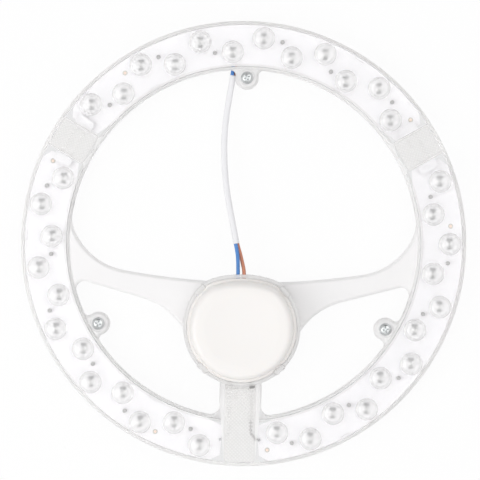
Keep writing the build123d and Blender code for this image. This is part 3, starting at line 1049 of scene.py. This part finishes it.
@dataclass
class ClearMoulding:
    """The clear moulding: eased edges, domed lenses with hollows, prism windows and lead slots."""

    ring: RingPlan
    hub: HubPlan
    wiring: Wiring
    outer_radius: float = 114.0
    inner_radius: float = 89.5
    back: float = 6.0
    front: float = 13.4
    weld: float = 0.0005
    flat_angle: float = 0.2
    ease_angle: float = 40.0
    sharp_angle: float = 32.0
    front_ease: float = 0.9
    front_strips: int = 4
    edge_ease: float = 0.4
    edge_strips: int = 2
    front_slack: float = 0.01
    slack: float = 0.05
    margin: float = 0.1
    spoke_margin: float = 0.2
    ring_margin: float = 0.3
    dome_radius: float = 5.05
    dome_height: float = 2.36
    dome_root: float = 12.6
    dome_rows: int = 9
    dome_start: float = 9.0
    dome_count: int = 36
    foot: Profile = ((5.75, 13.42), (5.45, 13.5), (5.2, 13.66))
    foot_inside: float = 4.75
    hollow: Profile = (
        (0.0, 11.2), (1.4, 11.2), (1.37, 11.9), (1.25, 12.4), (1.0, 12.75), (0.6, 12.95), (0.0, 13.02),
    )
    hollow_count: int = 28
    pin_cut: Profile = ((0.0, 8.2), (1.12, 8.2), (1.12, 11.86), (0.0, 11.86))
    pin_count: int = 20
    slot_span: tuple[float, float] = (8.0, 14.8)
    slot_gap: float = 0.06
    window_turns: tuple[float, float] = (30.0, 150.0)
    window_middle: float = 101.75
    window_half: tuple[float, float] = (9.6, 7.3)
    rib_middle: float = 7.92
    rib_half: tuple[float, float] = (0.44, 0.5)
    rib_count: int = 16
    spoke_field_half: float = 7.5
    spoke_field_span: tuple[float, float] = (-111.4, -73.6)
    prism_step: float = 0.9
    prism_root: float = 13.6
    prism_low: float = 13.85
    prism_high: float = 14.3
    hub_reach: float = 30.2
    hub_inside: tuple[float, float] = (1.3, 14.2)
    hub_rim_level: float = 9.0
    spoke_half: float = 10.8
    spoke_flare: float = 6.0
    lug_reach: float = 9.0
    lug_recess: float = 4.3
    lug_floor: float = 9.2
    wall: float = 1.45
    level_cosine: float = 0.9999
    lens_spots: list[Spot] = field(default_factory=list, init=False)
    piece: bpy.types.Object | None = field(default=None, init=False)

    def __post_init__(self) -> None:
        """Lists the lens centres."""
        self.lens_spots = [spot for segment in Segment for spot in self.ring.lenses(segment)]

    def build(self) -> None:
        """Makes the moulding from the CAD solid and dresses it."""
        self._copy_solid()
        combine(self.piece, self._domes(), Join.ADD)
        combine(self.piece, self._prisms(), Join.ADD)
        combine(self.piece, self._hollows(), Join.CUT)
        combine(self.piece, self._pin_cuts(), Join.CUT)
        combine(self.piece, self._lead_slots(), Join.CUT)
        self._dress()
        place_piece(self.piece, "clear_plastic", "lens_cover")

    def _copy_solid(self) -> None:
        """Copies the CAD solid, joins its flat faces and eases its edges."""
        form = Form()
        mesh = form.mesh
        mesh.from_mesh(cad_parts["lens_cover"].data)
        bmesh.ops.scale(mesh, vec=(1 / MM,) * 3, verts=mesh.verts)
        bmesh.ops.remove_doubles(mesh, verts=mesh.verts, dist=self.weld)
        bmesh.ops.dissolve_limit(
            mesh, angle_limit=radians(self.flat_angle), verts=mesh.verts, edges=mesh.edges,
            use_dissolve_boundaries=False,
        )
        self._ease(mesh, self._on_front_rim, self.front_ease, self.front_strips)
        self._ease(mesh, self._on_open_edge, self.edge_ease, self.edge_strips)
        bmesh.ops.triangulate(mesh, faces=mesh.faces)
        self.piece = form.piece("clear_cover")

    def _ease(
        self,
        mesh: bmesh.types.BMesh,
        wanted: Callable[[Vector, Vector], bool],
        width: float,
        strips: int,
    ) -> None:
        """Rounds the sharp edges that a test picks.

        Args:
            mesh: The mesh.
            wanted: Takes an edge's two ends and says whether it is rounded.
            width: How far the rounding reaches.
            strips: How many strips it has.
        """
        picked = []
        for edge in mesh.edges:
            sharp = len(edge.link_faces) == 2 and edge.calc_face_angle() > radians(self.ease_angle)
            if sharp and wanted(*[v.co for v in edge.verts]):
                picked.append(edge)
        bmesh.ops.bevel(
            mesh, geom=picked, offset=width, offset_type="OFFSET", segments=strips, profile=0.5,
            affect="EDGES", clamp_overlap=False,
        )
        log.info("eased %d edges by %.1f mm", len(picked), width)

    def _from_hub(self, spot: Vector) -> float:
        """How far a point is from the hub's axis."""
        return hypot(spot.x, spot.y - self.hub.middle_y)

    def _from_lug(self, spot: Vector) -> float:
        """How far a point is from the axis of the nearest lug."""
        return min(hypot(spot.x - x, spot.y - y) for x, y in map(self.ring.lug, Segment))

    def _on_spoke(self, spot: Vector) -> bool:
        """Whether a point lies on the spoke or where it flares into the ring and the hub."""
        return abs(spot.x) < self.spoke_half + self.spoke_flare and spot.y < self.hub.middle_y

    def _on_front_rim(self, start: Vector, end: Vector) -> bool:
        """Whether an edge lies on the ring's front outer or inner rim.

        Args:
            start: One end.
            end: The other end.

        Returns:
            True on either rim.
        """
        for point in (start, end):
            radius = hypot(point.x, point.y)
            off_rim = min(abs(radius - self.outer_radius), abs(radius - self.inner_radius))
            if off_rim >= self.slack or abs(point.z - self.front) > self.front_slack:
                return False
        return True

    def _on_open_edge(self, start: Vector, end: Vector) -> bool:
        """Whether an edge is an open outer edge, away from lenses, pins and the inside.

        Args:
            start: One end.
            end: The other end.

        Returns:
            True for an edge that is eased.
        """
        middle = (start + end) / 2
        radius = hypot(middle.x, middle.y)
        if radius > self.inner_radius + self.ring_margin:
            return middle.z < self.back + self.slack and radius > self.outer_radius - self.margin
        if self._from_lug(middle) < self.lug_recess:
            return False
        if self._from_hub(middle) < self.hub_reach:
            low, high = self.hub_inside
            return middle.z < low or middle.z > high
        return middle.z > self.back + self.slack and abs(middle.x) > self.spoke_half - self.spoke_margin

    def _domes(self) -> Form:
        """The smooth lens domes.

        Returns:
            The tool form.
        """
        form = Form()
        profile = [(0.0, self.dome_root), (self.foot[0][0], self.dome_root), *self.foot]
        start = radians(self.dome_start)
        for k in range(self.dome_rows):
            turn = start + (pi / 2 - start) * k / self.dome_rows
            profile.append((self.dome_radius * cos(turn), self.front + self.dome_height * sin(turn)))
        profile.append((0.0, self.front + self.dome_height))
        for spot in self.lens_spots:
            form.lathe(profile, spot, self.dome_count)
        return form

    def _hollows(self) -> Form:
        """The round hollow under each lens, over its emitter.

        Returns:
            The tool form.
        """
        form = Form()
        for spot in self.lens_spots:
            form.lathe(self.hollow, spot, self.hollow_count)
        return form

    def _pin_cuts(self) -> Form:
        """Room for the grey rivets in place of the clear pins.

        Returns:
            The tool form.
        """
        form = Form()
        for segment in Segment:
            for spot in self.ring.pins(segment):
                form.lathe(self.pin_cut, spot, self.pin_count)
        return form

    def _lead_slots(self) -> Form:
        """The two slots in the spoke for the stoppers of the output leads.

        Returns:
            The tool form.
        """
        form = Form()
        for side in (-1.0, 1.0):
            form.skin(self.wiring.stopper_rows(side, self.slot_span, self.slot_gap))
        return form

    def _prisms(self) -> Form:
        """The diamond prisms on the two ring windows and along the spoke.

        Returns:
            The tool form.
        """
        form = Form()
        for turn in self.window_turns:
            place = placed(polar(self.window_middle, turn), turn)
            self._prism_field(form, place, *self.window_half)
            self._rib(form, place, self.rib_middle)
            self._rib(form, place, -self.rib_middle)
        low, high = self.spoke_field_span
        place = placed((0.0, (low + high) / 2), 0.0)
        self._prism_field(form, place, self.spoke_field_half, (high - low) / 2)
        return form

    def _prism_field(self, form: Form, place: Matrix, half_x: float, half_y: float) -> None:
        """Adds one field of prisms: points and pits by turns over a closed slab.

        Args:
            form: The form that takes the field.
            place: Where its middle lies and how it is turned.
            half_x: Half its length.
            half_y: Half its width.
        """
        across = 2 * round(half_x / self.prism_step)
        along = 2 * round(half_y / self.prism_step)
        grids = []
        for flat in (True, False):
            grid = []
            for i in range(across + 1):
                column = []
                for j in range(along + 1):
                    rim = i in (0, across) or j in (0, along)
                    level = self.prism_low if rim or (i + j) % 2 else self.prism_high
                    spot = Vector((
                        half_x * (2 * i / across - 1),
                        half_y * (2 * j / along - 1),
                        self.prism_root if flat else level,
                    ))
                    column.append(form.mesh.verts.new(place @ spot))
                grid.append(column)
            grids.append(grid)
        root, top = grids
        for i in range(across):
            for j in range(along):
                corners = [(i, j), (i + 1, j), (i + 1, j + 1), (i, j + 1)]
                form.mesh.faces.new([root[a][b] for a, b in reversed(corners)])
                first = 0 if (i + j) % 2 else 1
                turned = corners[first:] + corners[:first]
                quad = [top[a][b] for a, b in turned]
                form.mesh.faces.new((quad[0], quad[1], quad[2]))
                form.mesh.faces.new((quad[0], quad[2], quad[3]))
        rim = [(i, 0) for i in range(across)] + [(across, j) for j in range(along)]
        rim += [(i, along) for i in range(across, 0, -1)] + [(0, j) for j in range(along, 0, -1)]
        for (a, b), (c, d) in zip(rim, rim[1:] + rim[:1]):
            form.mesh.faces.new((root[a][b], root[c][d], top[c][d], top[a][b]))

    def _rib(self, form: Form, place: Matrix, across: float) -> None:
        """Adds the low rounded rib at one end of a window.

        Args:
            form: The form that takes the rib.
            place: Where the window's middle lies and how it is turned.
            across: How far from the middle the rib runs.
        """
        outline = loop(*self.rib_half, self.rib_count)
        rows = []
        for x in (-self.window_half[0], self.window_half[0]):
            rows.append([place @ Vector((x, across + a, self.prism_low + b)) for a, b in outline])
        form.skin(rows)

    def _is_frosted(self, spot: Vector) -> bool:
        """Whether a face belongs to the frosted arms or to the floor of a lug's recess.

        Args:
            spot: The face's middle in millimetres.

        Returns:
            True for a frosted face.
        """
        from_lug = self._from_lug(spot)
        if from_lug < self.lug_recess and spot.z < self.lug_floor:
            return True
        inside = hypot(spot.x, spot.y) < self.inner_radius - self.margin
        apart = self._from_hub(spot) > self.hub_reach and from_lug >= self.lug_reach
        return inside and apart and not self._on_spoke(spot)

    def _zone(self, spot: Vector) -> Zone:
        """Which zone of the moulding a face is in.

        Args:
            spot: The face's middle in millimetres.

        Returns:
            The zone.
        """
        radius = hypot(spot.x, spot.y)
        if self._is_frosted(spot):
            return Zone.FROSTED
        if radius > self.outer_radius - self.wall:
            return Zone.RIM
        if self._from_hub(spot) < self.hub_reach:
            return Zone.RIM if spot.z > self.hub_rim_level else Zone.CLEAR
        raised = spot.z > self.front + self.slack
        if radius < self.inner_radius + self.wall:
            return Zone.PRISM if raised and self._on_spoke(spot) else Zone.PALE
        if not raised:
            return Zone.CLEAR
        nearest = min(hypot(spot.x - x, spot.y - y) for x, y in self.lens_spots)
        if nearest < self.foot_inside:
            return Zone.LENS
        return Zone.FOOT if nearest < self.foot[0][0] + self.margin else Zone.PRISM

    def _dress(self) -> None:
        """Gives each face its finish and keeps level faces flat."""
        data = self.piece.data
        zones = list(Zone)
        data.materials.clear()
        for zone in zones:
            data.materials.append(Finishes.material(zone.value))
        data.set_sharp_from_angle(angle=radians(self.sharp_angle))
        for face in data.polygons:
            face.material_index = zones.index(self._zone(face.center / MM))
            face.use_smooth = abs(face.normal.z) < self.level_cosine


@dataclass
class LightBoards:
    """The three boards with emitters, copper pads, rivets, films and solder joints.

    A loop of an emitter's case is given as half its length, half its width, its level and its
    squareness.
    """

    ring: RingPlan
    round_count: int = 24
    case: tuple[tuple[float, float, float, float], ...] = (
        (1.4, 1.0, 10.0, 7.0), (1.4, 1.0, 10.68, 7.0), (1.38, 0.98, 10.8, 6.0),
        (1.1, 0.8, 10.8, 2.0), (0.65, 0.5, 10.5, 2.0),
    )
    case_bands: tuple[int, ...] = (0, 0, 0, 1, 2)
    case_sharp: float = 15.0
    window_top: float = 10.6
    terminal_row: float = 1.65
    terminal_halves: tuple[tuple[float, float], ...] = ((1.15, 0.45), (0.9, 0.38))
    terminal_levels: tuple[float, float] = (10.0, 10.85)
    terminal_count: int = 16
    terminal_squareness: float = 4.0
    terminal_bands: tuple[int, int] = (3, 4)
    pad_row: float = 106.6
    pad_turns: tuple[float, float] = (36.0, -52.3)
    pad: Profile = ((1.3, 9.98), (1.3, 10.03), (1.2, 10.05), (0.72, 10.05), (0.66, 10.08), (0.0, 10.1))
    pad_bands: tuple[int, ...] = (0, 0, 0, 1, 1)
    rivet: Profile = (
        (0.0, 11.62), (0.85, 11.62), (1.05, 11.45), (1.05, 9.0),
        (1.5, 8.98), (1.5, 8.15), (1.25, 7.9), (0.0, 7.9),
    )
    link_turns: tuple[tuple[str, float], ...] = (("right", 30.0), ("left", 150.0))
    film_row: float = 101.75
    film_half: tuple[float, float] = (4.9, 3.4)
    film_reach: float = 10.0
    film_levels: tuple[float, float] = (11.5, 11.62)
    film_count: int = 40
    film_squareness: float = 5.0
    lead_end: Spot = (10.0, -100.7)
    joint: Profile = ((0.7, 10.0), (0.68, 10.2), (0.55, 10.7), (0.3, 11.05), (0.0, 11.15))
    joint_count: int = 20

    def build(self) -> None:
        """Makes and dresses everything on the boards."""
        for segment in Segment:
            paint_node(f"led_board_{segment.word}", Finishes.board_mask)
            self._emitters(segment)
        self._pads()
        self._rivets()
        for side, turn in self.link_turns:
            paint_node(f"board_jumpers_{side}", Finishes.white_wire)
            self._link_films(side, turn)
        self._lead_joints()

    def _emitters(self, segment: Segment) -> None:
        """A board's emitters: a pale case with a phosphor window in a bright cup, and two ends of tin
        darkened as painted shade.

        Args:
            segment: The board.
        """
        form = Form()
        for x, y in self.ring.lenses(segment):
            rows = [
                [(x + a, y + b, level) for a, b in loop(wide, deep, self.round_count, square)]
                for wide, deep, level, square in self.case
            ]
            form.skin([*rows, [(x, y, self.window_top)]], self.case_bands)
            # The two ends lie above and below each case on every board, and their dark tin is painted
            # shade for the dark figure in each lens.
            for half, way, band in zip(self.terminal_halves, (1.0, -1.0), self.terminal_bands):
                middle = y + way * self.terminal_row
                outline = loop(*half, self.terminal_count, self.terminal_squareness)
                rows = [[(x + a, middle + b, level) for a, b in outline] for level in self.terminal_levels]
                form.skin(rows, (band,))
        piece = form.piece(
            f"emitters_{segment.word}", Finishes.emitter_case, Finishes.reflector, Finishes.phosphor,
            Finishes.top_tin_painted_shade, Finishes.bottom_tin_painted_shade, sharp=self.case_sharp,
        )
        place_piece(piece, "led_package", f"led_chips_{segment.word}")

    def _pads(self) -> None:
        """The copper test pads, each with a dark rim."""
        form = Form()
        for segment in Segment:
            for turn in self.pad_turns:
                spot = polar(self.pad_row, segment.value + turn)
                form.lathe(self.pad, spot, self.round_count, self.pad_bands)
        place_piece(form.piece("copper_pads", Finishes.pad_rim, Finishes.copper_pad), "white_board")

    def _rivets(self) -> None:
        """The grey rivets that hold the boards to the moulding; their grey is painted shade for the dark
        pin holes.
        """
        form = Form()
        for segment in Segment:
            for spot in self.ring.pins(segment):
                form.lathe(self.rivet, spot, self.round_count)
        place_piece(form.piece("board_rivets", Finishes.rivet), "black_package")

    def _link_films(self, side: str, turn: float) -> None:
        """The white films stuck over the ends of the wire links at one window.

        Args:
            side: The window's side.
            turn: The window's direction in degrees.
        """
        form = Form()
        outline = loop(*self.film_half, self.film_count, self.film_squareness)
        for way in (-self.film_reach, self.film_reach):
            place = placed((0.0, 0.0), turn) @ placed((self.film_row, way), 0.0)
            form.skin([[place @ Vector((a, b, level)) for a, b in outline] for level in self.film_levels])
        place_piece(form.piece(f"link_films_{side}", Finishes.film), "white_insulation")

    def _lead_joints(self) -> None:
        """The solder joints where the driver's two leads end on the boards."""
        form = Form()
        x, y = self.lead_end
        for side in (-1.0, 1.0):
            form.lathe(self.joint, (side * x, y), self.joint_count)
        place_piece(form.piece("lead_joints", Finishes.solder), "tinned_copper")


@dataclass
class LugFixings:
    """The cup magnets behind the lugs and the cross-head screws that hold them.

    A loop of a screw's recess is given as its share of the full length, its share of the full width
    and its level.
    """

    ring: RingPlan
    magnet: Profile = (
        (0.0, 0.2), (3.6, 0.2), (3.65, 0.5), (4.2, 0.5), (4.25, 0.12), (4.4, 0.0), (4.7, 0.0), (5.0, 0.3),
        (5.0, 5.6), (4.7, 5.92), (1.75, 5.92), (1.6, 5.7), (1.6, 2.3), (0.0, 2.2),
    )
    magnet_bands: tuple[int, ...] = (1, 1, 1, 1, 0, 0, 0, 0, 0, 0, 0, 0, 0)
    magnet_count: int = 48
    thread_tip: float = 2.7
    thread_pitch: float = 0.7
    thread_radii: tuple[float, float] = (1.5, 1.2)
    seat: float = 9.0
    head: Profile = (
        (3.2, 9.04), (3.2, 9.35), (3.05, 9.5), (2.72, 9.58), (2.66, 10.15), (2.4, 10.7), (1.8, 11.02),
        (0.9, 11.17), (0.0, 11.2),
    )
    screw_count: int = 36
    recess: tuple[Point, ...] = ((0.35, 0.675, 9.9), (1.0, 1.0, 11.1), (1.0, 1.0, 12.0))
    recess_half: tuple[float, float] = (1.75, 0.34)
    recess_count: int = 16
    recess_squareness: float = 8.0
    turns: tuple[float, float, float] = (28.0, 75.0, 12.0)

    def build(self) -> None:
        """Makes and dresses the magnets and screws."""
        for segment in Segment:
            form = Form()
            form.lathe(self.magnet, self.ring.lug(segment), self.magnet_count, self.magnet_bands)
            piece = form.piece(f"cup_magnet_{segment.word}", Finishes.nickel, Finishes.magnet_face)
            place_piece(piece, "nickel", f"magnet_{segment.word}")
        self._screws()

    def _screws(self) -> None:
        """The three screws with threads, flanged heads and cross recesses."""
        form = Form()
        slots = (Form(), Form())
        crest, root = self.thread_radii
        profile = [(0.0, self.thread_tip), (root, self.thread_tip)]
        level = self.thread_tip + self.thread_pitch / 2
        while level < self.seat - self.thread_pitch:
            profile += [(crest, level), (root, level + self.thread_pitch / 2)]
            level += self.thread_pitch
        profile += [(root, self.seat), *self.head]
        long, thin = self.recess_half
        for segment, turn in zip(Segment, self.turns):
            spot = self.ring.lug(segment)
            form.lathe(profile, spot, self.screw_count)
            for slot, quarter in zip(slots, (turn, turn + 90.0)):
                place = placed(spot, quarter)
                rows = []
                for length, width, height in self.recess:
                    outline = loop(long * length, thin * width, self.recess_count, self.recess_squareness)
                    rows.append([place @ Vector((a, b, height)) for a, b in outline])
                slot.skin(rows)
        piece = form.piece("cross_screws", Finishes.zinc)
        for slot in slots:
            combine(piece, slot, Join.CUT)
        piece.data.set_sharp_from_angle(angle=radians(SHARP_ANGLE))
        place_piece(piece, "zinc_steel", "lug_screws")


@dataclass
class DriverBox:
    """The driver's cap and what lies in the hub under it.

    A loop of the cap is given as its inset from the hub's outline and its level.
    """

    hub: HubPlan
    inside: Profile = ((12.9, 25.0), (6.1, 25.0), (4.9, 24.0), (4.9, 13.1))
    flange: Profile = ((2.0, 13.1), (2.0, 14.0), (2.3, 14.3), (3.15, 14.3), (3.4, 14.6))
    edge_middle: tuple[float, float] = (7.3, 23.2)
    edge_radius: float = 3.3
    edge_rows: int = 7
    panel: Profile = ((11.0, 26.5), (11.6, 26.458), (12.1, 26.36))

    def build(self) -> None:
        """Makes the cap and dresses the CAD pieces in the hub."""
        self._cap()
        for node, finish in (
            ("driver_board", Finishes.laminate),
            ("film_capacitor", Finishes.film_case),
            ("bridge_rectifier", Finishes.black_case),
            ("control_chip", Finishes.black_case),
            ("output_diode", Finishes.black_case),
            ("input_terminal", Finishes.terminal),
            ("output_header", Finishes.terminal),
            ("bulk_capacitor", Finishes.can_sleeve),
            ("output_capacitor", Finishes.can_sleeve),
            ("fuse_resistor", Finishes.fuse_case),
            ("transformer_core", Finishes.ferrite),
            ("transformer_coil", Finishes.coil_tape),
        ):
            paint_node(node, finish)

    def _cap(self) -> None:
        """The white cap: flange, steep side, rounded edge and a faint panel line on its face."""
        inset, level = self.edge_middle
        turns = [pi / 2 * k / self.edge_rows for k in range(self.edge_rows + 1)]
        edge = [(inset - self.edge_radius * cos(t), level + self.edge_radius * sin(t)) for t in turns]
        loops = [*self.inside, *self.flange, *edge, *self.panel]
        rows = [[(x, y, z) for x, y in self.hub.outline(inward)] for inward, z in loops]
        under, face = [[(0.0, self.hub.middle_y, z)] for z in (loops[0][1], loops[-1][1])]
        form = Form()
        form.skin([under, *rows, face])
        place_piece(form.piece("cap_shell", Finishes.cap_plastic), "white_plastic", "driver_cap")


@dataclass
class Studio:
    """The pale floor, the soft lamps, the surroundings and the camera."""

    floor_half: float = 1.5
    floor_colour: Colour = (0.94, 0.94, 0.94)
    floor_glow: float = 0.93
    ambient: float = 0.86
    mirror_level: float = 1.42
    gap_depth: float = 1.7
    gap_narrowness: float = 3.5
    gap_floor: float = 0.06
    # How bright the floor glows when seen through the clear plastic; below 1 it is painted shade for the
    # module's shade on the floor.
    shaded_glow_under_clear: float = 0.80
    camera_height: float = 1.0
    camera_level: float = 0.012
    frame_width: float = 0.24595
    aim: tuple[float, float] = (-0.001845, 0.001845)
    roll: float = 1.2
    sensor: float = 36.0
    view_end: float = 100.0
    room: tuple[tuple[float, Colour], ...] = (
        (0.0, (0.95, 0.95, 0.95)),
        (0.48, (0.9, 0.9, 0.9)),
        (0.5, (0.32, 0.31, 0.305)),
        (0.62, (0.42, 0.41, 0.40)),
        (0.82, (0.95, 0.95, 0.95)),
        (1.0, (1.0, 1.0, 1.0)),
    )
    lamps: tuple[tuple[str, Point, float, float], ...] = (
        ("key_lamp", (-1.0, -0.25, 0.75), 0.7, 4.3),
        ("fill_lamp", (0.7, 0.7, 1.0), 0.9, 1.6),
        ("low_lamp", (0.1, -1.0, 0.8), 0.9, 1.8),
    )

    def build(self) -> None:
        """Makes the whole stage."""
        self._floor()
        self._surroundings()
        for name, place, size, power in self.lamps:
            self._lamp(name, place, size, power)
        self._camera()
        bpy.context.scene.view_settings.view_transform = "Standard"

    def _floor(self) -> None:
        """A white floor that keeps the module's shadow."""
        mesh = bmesh.new()
        bmesh.ops.create_grid(mesh, x_segments=2, y_segments=2, size=self.floor_half)
        data = bpy.data.meshes.new("floor")
        mesh.to_mesh(data)
        mesh.free()
        floor = bpy.data.objects.new("floor", data)
        bpy.context.scene.collection.objects.link(floor)
        graph = Graph.material("floor_white")
        path = graph.node("LightPath")
        seen = [Term(graph, path.outputs[f"Is {ray} Ray"]) for ray in ("Camera", "Glossy", "Transmission")]
        shown = (seen[0] | seen[1] | seen[2]) * self.floor_glow
        # Painted shade: seen through the clear plastic, the floor glows dimmer than in plain view.
        floor_tone_with_shade = graph.blend(seen[2], (1.0, 1.0, 1.0), (self.shaded_glow_under_clear,) * 3)
        plain = graph.node("BsdfDiffuse", {}, {"Color": self.floor_colour})
        white = graph.node("Emission", {}, {"Color": floor_tone_with_shade, "Strength": 1.0})
        graph.output(graph.node("MixShader", {}, {0: shown, 1: plain, 2: white}))
        data.materials.append(graph.owner)

    def _surroundings(self) -> None:
        """A soft room, bright above and to the sides, dimmer along the horizon and to front and back."""
        world = bpy.data.worlds.new("room")
        bpy.context.scene.world = world
        graph = Graph(world)
        direction = graph.node("TexCoord").outputs["Generated"]
        axes = graph.node("SeparateXYZ", {}, {"Vector": direction})
        height = Term(graph, axes.outputs["Z"])
        side = Term(graph, axes.outputs["X"])
        depth = Term(graph, axes.outputs["Y"])
        room = graph.node("ValToRGB", {"stops": self.room}, {"Fac": height * 0.5 + 0.5})
        path = graph.node("LightPath")
        glossy = Term(graph, path.outputs["Is Glossy Ray"])
        mirror = glossy | Term(graph, path.outputs["Is Transmission Ray"])
        narrow = (1.0 - side * side * self.gap_narrowness) | 0.0
        gap = (1.0 - depth * depth * narrow * self.gap_depth) | self.gap_floor
        level = (mirror * (self.mirror_level - self.ambient) + self.ambient) * (1.0 - glossy * (1.0 - gap))
        soft = graph.node("Background", {}, {"Color": room, "Strength": level})
        white = graph.node("Background", {}, {"Color": (1.0, 1.0, 1.0), "Strength": 1.0})
        mixed = graph.node("MixShader", {}, {0: path.outputs["Is Camera Ray"], 1: soft, 2: white})
        graph.output(mixed, "OutputWorld")

    def _lamp(self, name: str, place: Point, size: float, power: float) -> None:
        """A square soft lamp that points at the module.

        Args:
            name: The lamp's name.
            place: Where it hangs, in metres.
            size: Its side, in metres.
            power: Its power, in watts.
        """
        data = bpy.data.lights.new(name, "AREA")
        data.shape = "SQUARE"
        data.size = size
        data.energy = power
        lamp = bpy.data.objects.new(name, data)
        lamp.location = place
        lamp.rotation_euler = (-Vector(place)).to_track_quat("-Z", "Y").to_euler()
        bpy.context.scene.collection.objects.link(lamp)

    def _camera(self) -> None:
        """A long lens straight above the module, turned a little as in the photograph."""
        data = bpy.data.cameras.new("camera")
        data.sensor_width = self.sensor
        data.lens = data.sensor_width * (self.camera_height - self.camera_level) / self.frame_width
        data.clip_end = self.view_end
        camera = bpy.data.objects.new("camera", data)
        turn = Matrix.Rotation(radians(self.roll), 3, "Z")
        spot = turn @ Vector((*self.aim, 0.0))
        camera.location = (spot.x, spot.y, self.camera_height)
        camera.rotation_euler = (0.0, 0.0, radians(self.roll))
        bpy.context.scene.collection.objects.link(camera)
        bpy.context.scene.camera = camera


def main() -> None:
    """Builds the module's looks and its studio."""
    logging.basicConfig(level=logging.INFO, format="%(message)s")
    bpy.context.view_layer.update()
    ring = RingPlan()
    hub = HubPlan()
    wiring = Wiring()
    Studio().build()
    wiring.build()
    LightBoards(ring).build()
    LugFixings(ring).build()
    DriverBox(hub).build()
    ClearMoulding(ring, hub, wiring).build()


if __name__ == "__main__":
    main()
